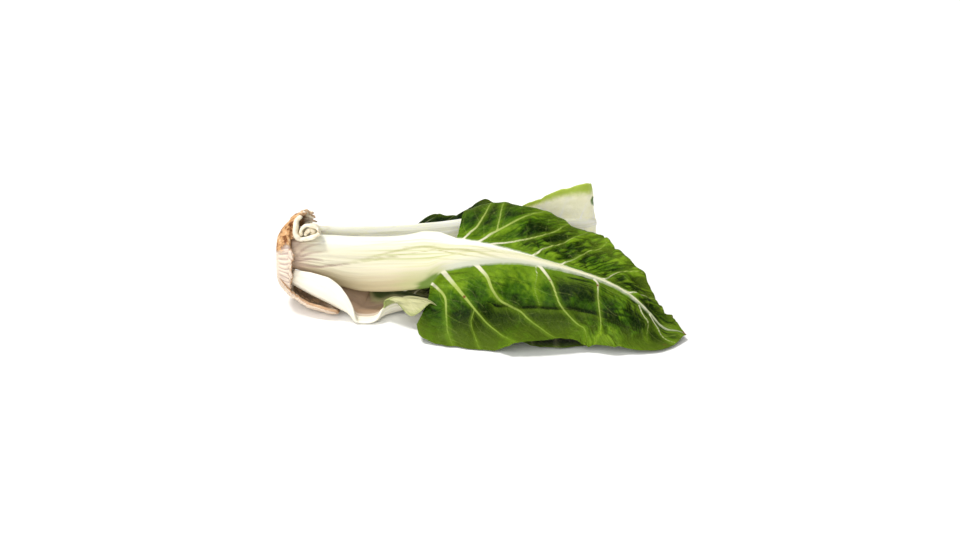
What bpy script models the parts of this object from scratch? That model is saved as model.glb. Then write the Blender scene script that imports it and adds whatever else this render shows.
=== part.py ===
"""
Swiss chard: one whole head, cut off at the crown, lying on its side.

Blender 4.5. Metres, +Z up, +X along the head from the cut face to the leaf tips,
-Y towards the side that the photo shows. The origin is under the middle of the
bounding box, on the surface that the head lies on.

The tables are in millimetres, with x counted from the cut face. A leaf is a
surface swept along its midline. Each table row gives one point of the midline
and how many degrees the leaf slopes down, at equal steps out from the midline,
on the near (-Y) half and on the far (+Y) half. A flat outline, given as distance
along the midline and distance out from it, then cuts the leaf out of that surface.
"""
import math

import bmesh
import bpy
import numpy as np

MM = 0.001

# Where the tables' zero point lies in the part's frame
SHIFT_X = -147.5
SHIFT_Y = -3.0
SHIFT_Z = -0.6

# Driving dimensions, in millimetres
BLADE_THICKNESS = 0.9
BLADE_GAP = 0.5          # between a blade and its own stalk
VEIN_HEIGHT = 1.3
PUCKER_HEIGHT = 1.1
MARGIN_WAVE = 1.6
RIB_HEIGHT = 0.45        # ribs along the stalks
SETTLE = 2.0             # leaves settle on the surface over this height

REST_HEIGHT = 0.6        # the surface that the head lies on, in the tables

CROWN_Y = 0.0
CROWN_Z = 35.5
CROWN_SIDES = 36
# x, radius of the crown; the last rows are the core inside the stalks
CROWN_PROFILE = [
    (0.0, 16.8), (0.7, 18.2), (3.0, 20.6), (6.0, 23.0), (9.0, 24.8), (10.0, 24.2),
    (10.2, 8.0), (24.0, 7.0), (36.0, 4.5), (40.0, 2.5),
]

# Colours, linear
IVORY = (0.78, 0.76, 0.62)
CREAM = (0.72, 0.66, 0.48)
TAN = (0.52, 0.36, 0.20)
LEAF_GREEN = (0.075, 0.19, 0.03)
DARK_GREEN = (0.035, 0.10, 0.025)
PALE_GREEN = (0.60, 0.66, 0.42)
YELLOW_GREEN = (0.30, 0.42, 0.08)

MAIN_LEAF = {
    "step": 20.0,
    "outer": 1,
    # x, y, z, near slopes, far slopes
    "lie": [
        (11, -15, 44, (60, 105, 120, 120, 120), (-60, -20, 0, 0, 0)),
        (35, -14, 43, (55, 100, 110, 110, 110), (-55, -15, 5, 5, 5)),
        (60, -13, 41, (50, 80, 70, 50, 40), (-50, -10, 5, 5, 5)),
        (90, -12, 41, (38, 52, 14, 25, 28), (-40, -10, 10, 10, 10)),
        (119, -13, 43, (30, 48, 30, 30, 25), (-35, -35, 0, 60, 80)),
        (148, -15, 46, (25, 42, 50, 22, 30), (-38, -46, -8, 80, 95)),
        (177, -19, 45, (25, 42, 50, 14, 25), (-30, -46, -20, 80, 95)),
        (206, -27, 41, (25, 46, 45, -8, -24), (-20, -36, 0, 80, 95)),
        (236, -38, 35, (20, 42, 30, -10, -20), (-20, -25, 10, 70, 90)),
        (256, -47, 27, (15, 40, 30, 0, 0), (-15, -15, 10, 50, 60)),
        (270, -55, 16, (10, 20, 10, 0, 0), (-10, -5, 10, 40, 40)),
        (281, -61, 5, (5, 5, 0, 0, 0), (-10, -10, 0, 5, 5)),
        (295, -64, 3, (0, 0, 0, 0, 0), (-10, -10, 0, 0, 0)),
    ],
    # distance along, half width of the stalk
    "stalk_near": [(0, 9), (12, 12), (25, 17), (38, 22), (50, 24), (80, 25), (103, 24.5), (109, 16),
                   (123, 12.5), (140, 10.5), (155, 8.5), (170, 6.5), (185, 5), (200, 3.4), (225, 2.4),
                   (250, 1.9), (288, 0.8)],
    "stalk_far": [(0, 18), (25, 20), (50, 22), (80, 24), (95, 25), (108, 21), (121, 15),
                  (136, 10.5), (151, 7.5), (166, 5.5), (181, 4), (198, 3), (225, 2.3), (250, 1.8),
                  (288, 0.8)],
    # distance along, thickness in the middle, thickness at the edges, bulge outwards
    "stalk_thick": [(0, 7.0, 2.6, 0), (60, 6.5, 2.2, 0), (100, 6.0, 1.8, 0.4), (135, 5.5, 1.4, 1.6),
                    (170, 5.0, 1.2, 2.0), (205, 3.6, 1.1, 1.5), (250, 2.4, 1.0, 1.0),
                    (288, 1.2, 0.9, 0.4)],
    # end of the row: distance along and out; its start on the midrib; vein height
    "blade_near": [(92, 57, 105, 0), (95, 67, 107, 0), (103, 73.5, 109.5, 0.6), (115, 78, 112, 1),
                   (140, 82, 115.5, 0.6), (168, 83, 120, 1), (190, 79, 133, 0.6), (214, 69, 148, 1),
                   (229, 59.5, 172, 0.6), (237, 56.5, 196, 0.5), (245, 54.5, 212, 1),
                   (259, 52, 236, 0.7), (275, 43, 262, 1), (289, 27, 278, 0.5), (296, 15, 288, 0),
                   (298, 11, 290, 0), (304, 0, 304, 0)],
    "blade_far": [(126, 44, 121, 0), (133, 51, 125, 0.5), (144, 55, 130, 0), (158, 57, 136, 1),
                  (180, 55, 145, 0.5), (198, 50, 154, 1), (212, 43.5, 166, 0.7),
                  (222, 37, 184, 0.5), (232, 31, 206, 1), (247, 24.5, 228, 1),
                  (262, 20, 246, 0.5), (275, 15, 262, 1), (284, 15, 276, 0.5), (292, 12, 288, 0),
                  (295, 10, 290, 0), (304, 0, 304, 0)],
    "columns": 7,
    "sections": 28,
    "across": 11,
    "relief": 1.0,
}

FRONT_LEAF = {
    "step": 12.0,
    "outer": -1,
    "lie": [
        (10.9, -15.8, 23.5, (-50, -85, -100, -100, -100), (45, 15, -10, 0, 0)),
        (30, -23, 16, (-30, -90, -105, -100, -100), (20, -25, -45, -45, 0)),
        (43, -25, 9.5, (-15, -75, -85, -80, -80), (-10, -40, -50, -50, 0)),
        (52, -26, 5, (-5, -55, -65, -50, -50), (-10, -40, -55, -50, 0)),
        (60, -27, 0.5, (0, -5, -20, -50, -50), (-5, -40, -50, -50, 0)),
        (68, -27, 0, (0, -10, -30, -30, -30), (0, -35, -45, -40, 0)),
        (76, -25, 0.5, (-10, -60, -20, 60, 70), (0, -30, -36, -24, 0)),
        (86, -23, 2.5, (-25, -88, -10, 70, 80), (0, -26, -28, -14, 0)),
        (97, -21, 3.5, (-25, -85, 0, 65, 72), (0, -22, -18, -5, 0)),
        (112, -19, 3.5, (-15, -60, 5, 45, 50), (0, -12, -8, 0, 0)),
        (137, -18, 2, (0, -5, 5, 5, 0), (-5, -5, 0, 0, 0)),
        (170, -21, 2, (0, 0, 0, 0, 0), (-5, -5, 0, 0, 0)),
        (205, -29, 2, (0, 0, 0, 0, 0), (-5, -5, 0, 0, 0)),
        (235, -40, 1, (0, 0, 0, 0, 0), (-5, -5, 0, 0, 0)),
        (258, -48, 1, (0, 0, 0, 0, 0), (0, 0, 0, 0, 0)),
    ],
    "stalk_near": [(0, 14), (12, 19), (24, 22.5), (39, 21), (49, 16), (57, 12.5), (65, 13.5), (73, 15),
                   (82, 13), (96, 10), (116, 8), (146, 6), (186, 3.6), (244, 0.8)],
    "stalk_far": [(0, 10), (22, 18), (36, 23), (66, 23), (86, 20), (98, 17), (110, 11), (126, 8),
                  (146, 6), (186, 3.6), (244, 0.8)],
    "stalk_thick": [(0, 4.5, 2.4, 0), (46, 4.5, 2.0, 0), (86, 4.5, 1.6, 0), (116, 4.0, 1.3, 0.4),
                    (166, 3.0, 1.1, 0.6), (244, 1.2, 0.9, 0.2)],
    "blade_near": [(83, 31, 75, 0), (89, 38.5, 80, 0), (95.5, 41, 86, 0.8), (104, 38, 92, 0),
                   (117, 32, 104, 0.4), (140, 31, 120, 1), (169, 37, 146, 0.5),
                   (196, 50, 174, 1), (218, 48, 198, 1), (236, 36, 216, 1), (249, 20, 234, 0),
                   (253, 13, 244, 0), (255, 9, 246, 0), (260, 0, 260, 0)],
    "blade_far": [(92, 19, 92, 0), (102, 27, 96, 0), (112, 36, 100, 1), (132, 44, 107, 0.5),
                  (156, 46, 120, 1), (184, 43, 144, 0.5), (209, 35, 171, 1), (230, 25, 201, 1),
                  (244, 16, 228, 0), (250, 12, 244, 0), (253, 9, 246, 0), (260, 0, 260, 0)],
    "columns": 5,
    "sections": 26,
    "across": 9,
    "relief": 0.5,
}

TALL_LEAF = {
    "step": 20.0,
    "outer": -1,
    "lie": [
        (14, 15, 42, (95, 80, 60, 60, 60), (-90, -110, -110, -110, -110)),
        (50, 20, 39, (95, 85, 60, 60, 60), (-90, -100, -110, -110, -110)),
        (85, 25, 36, (95, 85, 60, 60, 60), (-90, -95, -110, -110, -110)),
        (120, 30, 37, (90, 85, 60, 60, 60), (-90, -90, -60, -60, -60)),
        (155, 35, 40, (90, 90, 70, 60, 60), (-90, -85, -60, 40, 70)),
        (185, 37, 44, (90, 90, 80, 60, 60), (-90, -85, -70, 60, 80)),
        (210, 38, 46, (90, 90, 80, 60, 60), (-90, -88, -60, 60, 80)),
        (226, 42, 45, (90, 90, 80, 60, 60), (-90, -85, -60, 60, 80)),
        (234, 53, 41, (85, 85, 80, 60, 60), (-85, -70, -50, 60, 80)),
        (234, 66, 33, (80, 80, 80, 60, 60), (-80, -60, -30, 30, 60)),
        (230, 79, 21, (70, 70, 70, 60, 60), (-70, -50, -30, 20, 30)),
        (224, 88, 8, (60, 60, 60, 60, 60), (-40, -30, -30, -30, -30)),
        (218, 94, 2, (50, 50, 60, 60, 60), (-30, -30, -30, -30, -30)),
    ],
    "stalk_near": [(0, 8), (36, 9), (70, 11), (105, 13), (138, 17), (150, 13), (165, 9),
                   (190, 5.5), (225, 3), (268, 0.8)],
    "stalk_far": [(0, 14), (36, 15), (70, 16), (105, 15), (150, 15), (160, 12), (172, 8),
                  (190, 5), (225, 3), (268, 0.8)],
    "stalk_thick": [(0, 6.0, 2.4, 0), (60, 5.5, 2.0, 0), (120, 5.0, 1.6, 0.2), (165, 4.0, 1.2, 0.8),
                    (210, 2.8, 1.0, 0.6), (268, 1.2, 0.9, 0.2)],
    "blade_near": [(138, 17.5, 138, 0), (155, 25, 144, 0.4), (172, 26.5, 153, 1), (195, 27, 170, 0.5),
                   (216, 26, 192, 1), (236, 23, 214, 1), (250, 18, 236, 0.5), (262, 12, 256, 0),
                   (270, 8, 268, 0), (273, 6, 270, 0), (290, 0, 290, 0)],
    "blade_far": [(150, 15.5, 150, 0), (161, 16.5, 157, 0), (173, 19, 167, 0.5), (186, 24, 178, 1),
                  (199, 28.5, 190, 0.5), (210, 30, 201, 1), (221, 29.5, 211, 0.5),
                  (231, 29, 221, 1), (242, 27, 231, 1), (254, 21, 243, 0.5), (264, 14, 257, 0),
                  (271, 9, 268, 0), (274, 7, 270, 0), (290, 0, 290, 0)],
    "columns": 5,
    "sections": 24,
    "across": 8,
    "relief": 0.5,
}

BACK_LEAF = {
    "step": 20.0,
    "outer": 1,
    "lie": [
        (14, 19, 22, (-60, -85, -85, -75, -75), (80, 60, 40, 40, 40)),
        (40, 28, 23, (-60, -85, -85, -75, -75), (60, 60, 50, 40, 40)),
        (70, 38, 26, (-50, -80, -80, -75, -75), (40, 60, 60, 40, 30)),
        (100, 48, 30, (-50, -75, -75, -75, -75), (30, 55, 60, 30, 20)),
        (130, 53, 33, (-60, -80, -75, -75, -75), (25, 55, 60, 30, 15)),
        (155, 56, 33, (-50, -70, -75, -75, -75), (25, 55, 50, 20, 10)),
        (180, 60, 26, (-20, -30, -40, -40, -40), (20, 40, 30, 10, 10)),
        (198, 64, 14, (-10, -10, -10, -10, -10), (10, 20, 10, 0, 0)),
        (210, 68, 4, (0, 0, 0, 0, 0), (0, 0, 0, 0, 0)),
        (220, 72, 2, (0, 0, 0, 0, 0), (0, 0, 0, 0, 0)),
    ],
    "stalk_near": [(0, 9), (28, 12), (60, 14), (86, 14), (98, 11), (112, 8), (130, 6), (160, 4),
                   (205, 0.8)],
    "stalk_far": [(0, 12), (28, 15), (60, 19), (80, 21), (92, 14), (104, 9), (130, 6), (160, 4),
                  (205, 0.8)],
    "stalk_thick": [(0, 5.5, 2.4, 0), (50, 5.0, 2.0, 0), (90, 4.5, 1.5, 0.3), (130, 3.4, 1.1, 0.9),
                    (205, 1.2, 0.9, 0.2)],
    "blade_near": [(97, 20, 86, 0), (104, 22, 91, 0.5), (112, 23.5, 97, 0), (124, 24, 104, 1),
                   (138, 27, 114, 0.5), (150, 25, 127, 1), (160, 20, 142, 0.5), (176, 17, 158, 1),
                   (192, 13.5, 177, 0.5), (204, 10, 194, 0), (210, 7, 205, 0), (212, 6, 207, 0),
                   (223, 0, 223, 0)],
    "blade_far": [(86, 49, 80, 0), (93, 55, 83, 0.6), (103, 58.5, 88, 0), (116, 60, 94, 1),
                  (140, 58, 106, 0.6), (160, 50, 124, 1), (180, 38, 148, 1), (198, 25, 175, 0.6),
                  (208, 15, 195, 0), (212, 10, 205, 0), (214, 8, 207, 0), (223, 0, 223, 0)],
    "columns": 5,
    "sections": 20,
    "across": 8,
    "relief": 1.0,
}

HEART_LEAF = {
    "step": 20.0,
    "outer": 1,
    "lie": [
        (44, 4, 30, (30, 60, 60, 60, 60), (-10, 40, 60, 60, 60)),
        (65, 5, 28, (30, 60, 60, 60, 60), (-10, 40, 60, 60, 60)),
        (90, 6, 26, (30, 60, 60, 60, 60), (-10, 40, 60, 60, 60)),
        (115, 6, 26, (30, 60, 60, 60, 60), (-10, 30, 60, 60, 60)),
        (140, 5, 24, (20, 50, 60, 60, 60), (-10, 20, 60, 60, 60)),
        (165, 2, 20, (10, 20, 60, 60, 60), (-10, 20, 60, 60, 60)),
    ],
    "stalk_near": [(0, 4.5), (55, 6), (70, 4), (106, 0.8)],
    "stalk_far": [(0, 4.5), (55, 6), (70, 4), (106, 0.8)],
    "stalk_thick": [(0, 4.0, 2.0, 0), (55, 3.4, 1.4, 0.3), (106, 1.2, 0.9, 0.2)],
    "blade_near": [(55, 6.5, 55, 0), (66, 11, 58, 1), (88, 14, 70, 0.5), (104, 10, 88, 1),
                   (111, 6, 106, 0), (113, 5, 108, 0), (122, 0, 122, 0)],
    "blade_far": [(55, 6.5, 55, 0), (66, 10, 58, 1), (88, 12, 70, 0.5), (104, 9, 88, 1),
                  (111, 6, 106, 0), (113, 5, 108, 0), (122, 0, 122, 0)],
    "columns": 3,
    "sections": 10,
    "across": 5,
    "relief": 1.0,
}


def through(rows, t):
    """Smooth curve through the rows of a table, at fractional row t"""
    rows = np.asarray(rows, float)
    last = len(rows) - 1
    t = np.clip(np.asarray(t, float), 0, last - 1e-9)
    i = t.astype(int)
    f = (t - i)[..., None]
    here, after = rows[i], rows[i + 1]
    before = np.where((i > 0)[..., None], rows[np.maximum(i - 1, 0)], 2 * here - after)
    beyond = np.where((i < last - 1)[..., None], rows[np.minimum(i + 2, last)], 2 * after - here)
    return 0.5 * (2 * here + (after - before) * f
                  + (2 * before - 5 * here + 4 * after - beyond) * f ** 2
                  + (3 * here - before - 3 * after + beyond) * f ** 3)


class LeafForm:
    """The surface that a leaf is cut from"""

    def __init__(self, table):
        self.step = table["step"]
        self.outer = table["outer"]
        self.lowest = REST_HEIGHT + (BLADE_THICKNESS + 0.2 if self.outer > 0 else 0.0)
        self.rows = np.array([(*r[:3], *r[3], *r[4]) for r in table["lie"]], float)
        self.rows_at = np.linspace(0, len(self.rows) - 1, 1501)
        line = through(self.rows[:, :3], self.rows_at)
        pieces = np.linalg.norm(np.diff(line, axis=0), axis=1)
        self.along_at = np.concatenate([[0.0], np.cumsum(pieces)])
        self.length = self.along_at[-1]

    def row_of(self, along):
        return np.interp(along, self.along_at, self.rows_at)

    def midline(self, along):
        along = np.clip(along, 0, self.length)
        point = through(self.rows[:, :3], self.row_of(along))
        ahead = through(self.rows[:, :3], self.row_of(np.clip(along + 3, 0, self.length)))
        behind = through(self.rows[:, :3], self.row_of(np.clip(along - 3, 0, self.length)))
        way = ahead - behind
        return point, way / np.linalg.norm(way, axis=-1)[..., None]

    def point(self, along, out):
        """Place on the surface; out is negative on the near half"""
        along, out = np.broadcast_arrays(np.asarray(along, float), np.asarray(out, float))
        shape = along.shape
        along, out = along.ravel(), out.ravel()
        point, way = self.midline(along)
        slopes = through(self.rows[:, 3:], self.row_of(np.clip(along, 0, self.length)))
        across = np.cross((0.0, 0.0, 1.0), way)
        across = across / np.linalg.norm(across, axis=1)[:, None]
        up = np.cross(way, across)
        near = out < 0
        count = slopes.shape[1] // 2
        slopes = np.where(near[:, None], slopes[:, :count], slopes[:, count:])
        reach = np.abs(out)
        side = np.zeros(len(out))
        drop = np.zeros(len(out))
        line = np.arange(len(out))
        strips = 32
        for k in range(strips):
            place = reach * (k + 0.5) / strips / self.step
            i = np.minimum(place.astype(int), count - 2)
            f = np.minimum(place - i, 1.0)
            angle = np.radians(slopes[line, i] * (1 - f) + slopes[line, i + 1] * f)
            side += np.cos(angle) * reach / strips
            drop += np.sin(angle) * reach / strips
        place = point + np.where(near, -side, side)[:, None] * across - drop[:, None] * up
        height = place[:, 2] - self.lowest
        place[:, 2] = self.lowest + 0.5 * (height + np.sqrt(height ** 2 + SETTLE ** 2))
        return place.reshape(shape + (3,))

    def outward(self, along, out):
        """Direction out of the leaf's outer face"""
        d = 0.6
        ahead = self.point(along + d, out) - self.point(along - d, out)
        aside = self.point(along, out + d) - self.point(along, out - d)
        normal = np.cross(ahead, aside)
        return self.outer * normal / np.linalg.norm(normal, axis=-1)[..., None]


def in_frame(points):
    return (np.asarray(points) + (SHIFT_X, SHIFT_Y, SHIFT_Z)) * MM


def table_value(rows, along, column=1):
    return np.interp(along, [r[0] for r in rows], [r[column] for r in rows])


def node_object(name, bm, colour, roughness, group, thickness=0.0):
    """Finish one named piece: facing out, its own material, in the collection"""
    mesh = bpy.data.meshes.new(name)
    bm.to_mesh(mesh)
    bm.free()
    obj = bpy.data.objects.new(name, mesh)
    group.objects.link(obj)
    if thickness:
        solid = obj.modifiers.new("Thickness", "SOLIDIFY")
        solid.thickness = thickness * MM
        solid.offset = -1
    material = bpy.data.materials.new(name + "_surface")
    material.use_nodes = True
    shader = material.node_tree.nodes["Principled BSDF"]
    shader.inputs["Base Color"].default_value = (*colour, 1)
    shader.inputs["Roughness"].default_value = roughness
    shader.inputs["Metallic"].default_value = 0.0
    mesh.materials.append(material)
    return obj


def tube(sections):
    """Closed body through rings of points, all with the same count"""
    rings = np.asarray(sections)
    count, around = rings.shape[:2]
    bm = bmesh.new()
    bmesh.ops.create_grid(bm, x_segments=around, y_segments=count - 1, size=1)
    bm.verts.ensure_lookup_table()
    flat = np.concatenate([rings, rings[:, :1]], axis=1).reshape(-1, 3)
    for vert, place in zip(bm.verts, in_frame(flat)):
        vert.co = place
    bmesh.ops.remove_doubles(bm, verts=bm.verts, dist=0.00001)
    rims = [edge for edge in bm.edges if edge.is_boundary]
    bmesh.ops.holes_fill(bm, edges=rims, sides=0)
    bmesh.ops.recalc_face_normals(bm, faces=bm.faces)
    bmesh.ops.triangulate(bm, faces=bm.faces, quad_method="BEAUTY", ngon_method="BEAUTY")
    return bm


def make_stalk(name, table, colour, group):
    """Leaf stalk and midrib: crescent sections that narrow to a rounded bar"""
    form = LeafForm(table)
    end = table["stalk_near"][-1][0]
    knots = sorted({r[0] for r in table["stalk_near"] + table["stalk_far"]})
    even = np.linspace(0, end, table["sections"])
    places = [float(k) for k in knots]
    for s in even:
        if min(abs(s - k) for k in places) > 0.35 * end / table["sections"]:
            places.append(float(s))
    rings = []
    across = table["across"]
    for s in sorted(places):
        near = table_value(table["stalk_near"], s)
        far = table_value(table["stalk_far"], s)
        turn = np.cos(np.linspace(np.pi, 0, across + 1))
        u = 0.6 * np.linspace(-1, 1, across + 1) + 0.4 * turn
        out = np.where(u < 0, u * near, u * far)
        along = np.full(across + 1, s)
        surface = form.point(along, out)
        normal = form.outward(along, out)
        middle = table_value(table["stalk_thick"], s, 1)
        edge = table_value(table["stalk_thick"], s, 2)
        bulge = table_value(table["stalk_thick"], s, 3)
        hump = 1 - u ** 2
        ribs = RIB_HEIGHT * np.cos(math.pi * np.arange(across + 1)) * hump
        ribs = ribs * min(1.0, (near + far) / 24.0)
        thick = edge + (middle - edge) * hump
        skin = surface + normal * (bulge * hump + ribs)[:, None]
        lining = surface + normal * (bulge * hump - thick)[:, None]
        rings.append(np.concatenate([skin, lining[::-1]]))
    return node_object(name, tube(rings), colour, 0.45, group)


def blade_rows(rows, length):
    """Rows of a half blade up to the tip, closer together beside each vein"""
    rows = np.array(rows, float)
    rows[-1] = (length, 0, length, 0)
    places = []
    for i in range(len(rows) - 1):
        short = rows[i, 3] == 0 and rows[i + 1, 3] == 0
        crowded = rows[i + 1, 2] - rows[i, 2] < 7
        for f in ((0.0, 0.5) if short or crowded else (0.0, 0.17, 0.5, 0.83)):
            places.append(i + f)
    places.append(len(rows) - 1)
    places = np.array(places)
    ends = through(rows[:, :2], places)
    starts = np.interp(places, np.arange(len(rows)), rows[:, 2])
    vein = np.zeros(len(places))
    pucker = np.zeros(len(places))
    for n, place in enumerate(places):
        i = int(place)
        f = place - i
        if f == 0:
            vein[n] = rows[i, 3]
        elif abs(f - 0.5) < 0.01:
            pucker[n] = 1.0
    return ends, starts, vein, pucker


def half_blade(bm, form, table, side):
    """One half of a blade as a grid from the stalk's edge to the outline"""
    rows = table["blade_near"] if side < 0 else table["blade_far"]
    stalk = table["stalk_near"] if side < 0 else table["stalk_far"]
    stalk_end = stalk[-1][0]
    ends, starts, vein, pucker = blade_rows(rows, form.length)
    columns = table["columns"]
    count = len(starts)
    width = table_value(stalk, starts)
    steep = (table_value(stalk, starts + 0.5) - table_value(stalk, starts - 0.5))
    inner = np.where(starts > stalk_end + 1, 0.0, width + BLADE_GAP * np.sqrt(1 + steep ** 2))
    c = np.linspace(0, 1, columns + 1)[None, :]
    number = np.arange(count)[:, None]
    gone = np.hypot(ends[:, 0] - starts, ends[:, 1] - inner)[:, None]
    size = np.clip(gone / 40.0, 0, 1)
    along = starts[:, None] + (ends[:, 0] - starts)[:, None] * c ** 1.15
    notch = 0.9 * np.sin(2.3 * number + side) * c ** 3 * size
    out = inner[:, None] + (ends[:, 1] - inner)[:, None] * c + notch
    wave = MARGIN_WAVE * np.sin(1.05 * number + 0.7 * side) * c ** 3 * size
    fade = np.clip(c * 6, 0, 1) * (1 - 0.75 * c ** 2) * size
    ripple = 0.35 * np.sin(2.6 * columns * c + 1.7 * number) * np.clip(gone / columns / 5, 0, 1)
    relief = VEIN_HEIGHT * vein[:, None] * fade + wave
    relief = relief + (PUCKER_HEIGHT * pucker[:, None] + ripple) * fade
    along = np.minimum(along, form.length)
    ahead = np.stack([np.gradient(along, axis=0), np.gradient(out, axis=0)])
    aside = np.stack([np.gradient(along, axis=1), np.gradient(out, axis=1)])
    room = np.abs(ahead[0] * aside[1] - ahead[1] * aside[0]) / (np.hypot(*aside) + 0.01)
    relief = relief * np.clip(room / 3.0 - 0.1, 0, 1) * table["relief"]
    points = form.point(along, side * out)
    normals = form.outward(along, side * out)
    lift = points[..., 2] - form.lowest - 0.8
    relief = relief * np.clip(lift / 6.0, 0.15, 1)
    points = points + normals * relief[..., None]
    grid = bmesh.ops.create_grid(bm, x_segments=columns, y_segments=count - 1, size=1)
    for vert, place in zip(grid["verts"], in_frame(points.reshape(-1, 3))):
        vert.co = place


def make_blade(name, table, colour, group):
    """Both halves of a blade, welded ahead of the stalk's end, then given thickness"""
    form = LeafForm(table)
    bm = bmesh.new()
    half_blade(bm, form, table, -1)
    half_blade(bm, form, table, 1)
    bmesh.ops.remove_doubles(bm, verts=bm.verts, dist=0.00005)
    bmesh.ops.dissolve_degenerate(bm, edges=bm.edges, dist=0.00005)
    bmesh.ops.triangulate(bm, faces=bm.faces, quad_method="BEAUTY")
    bmesh.ops.recalc_face_normals(bm, faces=bm.faces)
    probe = max(bm.faces, key=lambda face: face.calc_area())
    middle = np.array(probe.calc_center_median()) / MM - (SHIFT_X, SHIFT_Y, SHIFT_Z)
    along, out = nearest_on(form, middle)
    if np.dot(form.outward(along, out), probe.normal) < 0:
        bmesh.ops.reverse_faces(bm, faces=bm.faces)
    return node_object(name, bm, colour, 0.35, group, BLADE_THICKNESS)


def nearest_on(form, place):
    """Distance along and out of the surface point nearest to a place"""
    along, out = np.meshgrid(np.arange(0, form.length, 2.0), np.arange(-90, 90, 2.0))
    gap = np.linalg.norm(form.point(along, out) - place, axis=-1)
    best = np.unravel_index(np.argmin(gap), gap.shape)
    return along[best], out[best]


def make_crown(name, group):
    """Cut crown with the ringed bases of the leaves, and its core"""
    angles = np.linspace(0, 2 * math.pi, CROWN_SIDES, endpoint=False)
    rings = []
    for x, radius in CROWN_PROFILE:
        rim = 1 if 0.5 < x < 10.1 else 0
        lobes = 0.05 * np.cos(3 * angles + 0.8) + 0.03 * np.cos(5 * angles + 2.0 + 0.15 * x)
        ridges = 0.35 * np.cos(math.pi * np.arange(CROWN_SIDES))
        crest = 0.35 * x * np.clip(np.sin(angles), 0, 1) ** 2
        r = radius * (1 + rim * lobes) + rim * (ridges + crest)
        y = CROWN_Y + r * np.cos(angles)
        z = CROWN_Z + r * np.sin(angles)
        rings.append(np.stack([np.full(CROWN_SIDES, float(x)), y, z], axis=1))
    return node_object(name, tube(rings), CREAM, 0.6, group)


def make_stub(name, rows, thickness, teeth, colour, group):
    """Torn-off leaf base: a curved shell round a bent line with a ragged end"""
    rings = []
    rows = np.asarray(rows, float)
    count = 7
    around = 10
    for k in range(count):
        x, y, z, start, stop, radius = through(rows, k * (len(rows) - 1) / (count - 1))
        turn = np.radians(np.linspace(start, stop, around + 1))
        ragged = teeth * (k / (count - 1)) ** 3 * np.sin(2.1 * np.arange(around + 1) + x)
        ends = np.abs(np.linspace(-1, 1, around + 1)) ** 4
        shell = thickness * (1 - 0.6 * ends)
        ribs = 0.3 * np.cos(math.pi * np.arange(around + 1)) * (1 - ends)
        skin = radius + ribs
        lining = radius - shell
        outer_ring = np.stack([x + ragged, y + skin * np.cos(turn), z + skin * np.sin(turn)], 1)
        inner_ring = np.stack([x + ragged, y + lining * np.cos(turn), z + lining * np.sin(turn)], 1)
        outer_ring[:, 2] = np.maximum(outer_ring[:, 2], REST_HEIGHT)
        rings.append(np.concatenate([outer_ring, inner_ring[::-1]]))
    return node_object(name, tube(rings), colour, 0.6, group)


def build():
    for old in list(bpy.data.objects):
        bpy.data.objects.remove(old, do_unlink=True)
    group = bpy.data.collections.new("swiss_chard")
    bpy.context.scene.collection.children.link(group)
    make_crown("crown", group)
    # x, y, z of the bend's centre; start and end angle round it; radius
    make_stub("stub_top", [(10.8, 4, 53, 15, 160, 13), (16, 3, 58, 5, 185, 13),
                           (23, 2, 59, 0, 207, 13.5), (32, 1, 56, 15, 212, 12)], 2.6, 1.6, CREAM, group)
    make_stub("stub_front", [(10.8, 0, 35, 170, 226, 26.6), (12, 0, 35, 168, 227, 26.6),
                             (13.5, 0, 35, 168, 227, 26.3), (15, 0, 35, 170, 225, 25.8)], 1.8, 0.7, IVORY, group)
    make_stub("stub_low", [(10.8, 0, 35, 224, 295, 28.5), (22, -4, 33.4, 222, 290, 32),
                           (34, -9, 31.8, 222, 285, 32), (46, -13, 31, 230, 278, 31)], 2.6, 1.6, TAN, group)
    make_stalk("main_leaf_stalk", MAIN_LEAF, IVORY, group)
    make_blade("main_leaf_blade", MAIN_LEAF, LEAF_GREEN, group)
    make_stalk("front_leaf_stalk", FRONT_LEAF, IVORY, group)
    make_blade("front_leaf_blade", FRONT_LEAF, YELLOW_GREEN, group)
    make_stalk("tall_leaf_stalk", TALL_LEAF, IVORY, group)
    make_blade("tall_leaf_blade", TALL_LEAF, PALE_GREEN, group)
    make_stalk("back_leaf_stalk", BACK_LEAF, IVORY, group)
    make_blade("back_leaf_blade", BACK_LEAF, DARK_GREEN, group)
    make_stalk("heart_leaf_stalk", HEART_LEAF, IVORY, group)
    make_blade("heart_leaf_blade", HEART_LEAF, YELLOW_GREEN, group)


build()
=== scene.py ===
# %% [markdown]
# Swiss chard: the looks of one whole head that lies on its side
#
# A packed model already holds the leaves as solids at their real size. This lesson
# dresses it: each leaf becomes one seamless mesh whose stalk thins out into its
# blade, with veins, puckers and a waved margin, and then gets its finish.
# The forms are worked out as arrays of points and handed to Blender at once, because
# a leaf's form is easier to write down as a formula than to sculpt by hand.

# %% Load the packed frame
import math

import bpy
import numpy as np
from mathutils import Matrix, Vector, kdtree


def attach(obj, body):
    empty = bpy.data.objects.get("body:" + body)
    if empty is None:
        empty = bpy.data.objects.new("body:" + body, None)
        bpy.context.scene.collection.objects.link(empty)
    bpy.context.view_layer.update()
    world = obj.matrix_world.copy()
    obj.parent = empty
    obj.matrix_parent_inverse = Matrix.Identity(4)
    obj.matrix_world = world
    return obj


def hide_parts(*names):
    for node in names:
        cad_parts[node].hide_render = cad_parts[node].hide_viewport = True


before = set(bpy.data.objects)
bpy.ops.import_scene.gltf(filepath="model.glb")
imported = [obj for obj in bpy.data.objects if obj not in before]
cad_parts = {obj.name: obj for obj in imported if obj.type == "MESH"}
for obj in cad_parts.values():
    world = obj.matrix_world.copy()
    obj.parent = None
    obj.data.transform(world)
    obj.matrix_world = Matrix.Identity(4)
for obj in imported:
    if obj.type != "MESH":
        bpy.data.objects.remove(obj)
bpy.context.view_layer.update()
MM = 0.001
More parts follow.
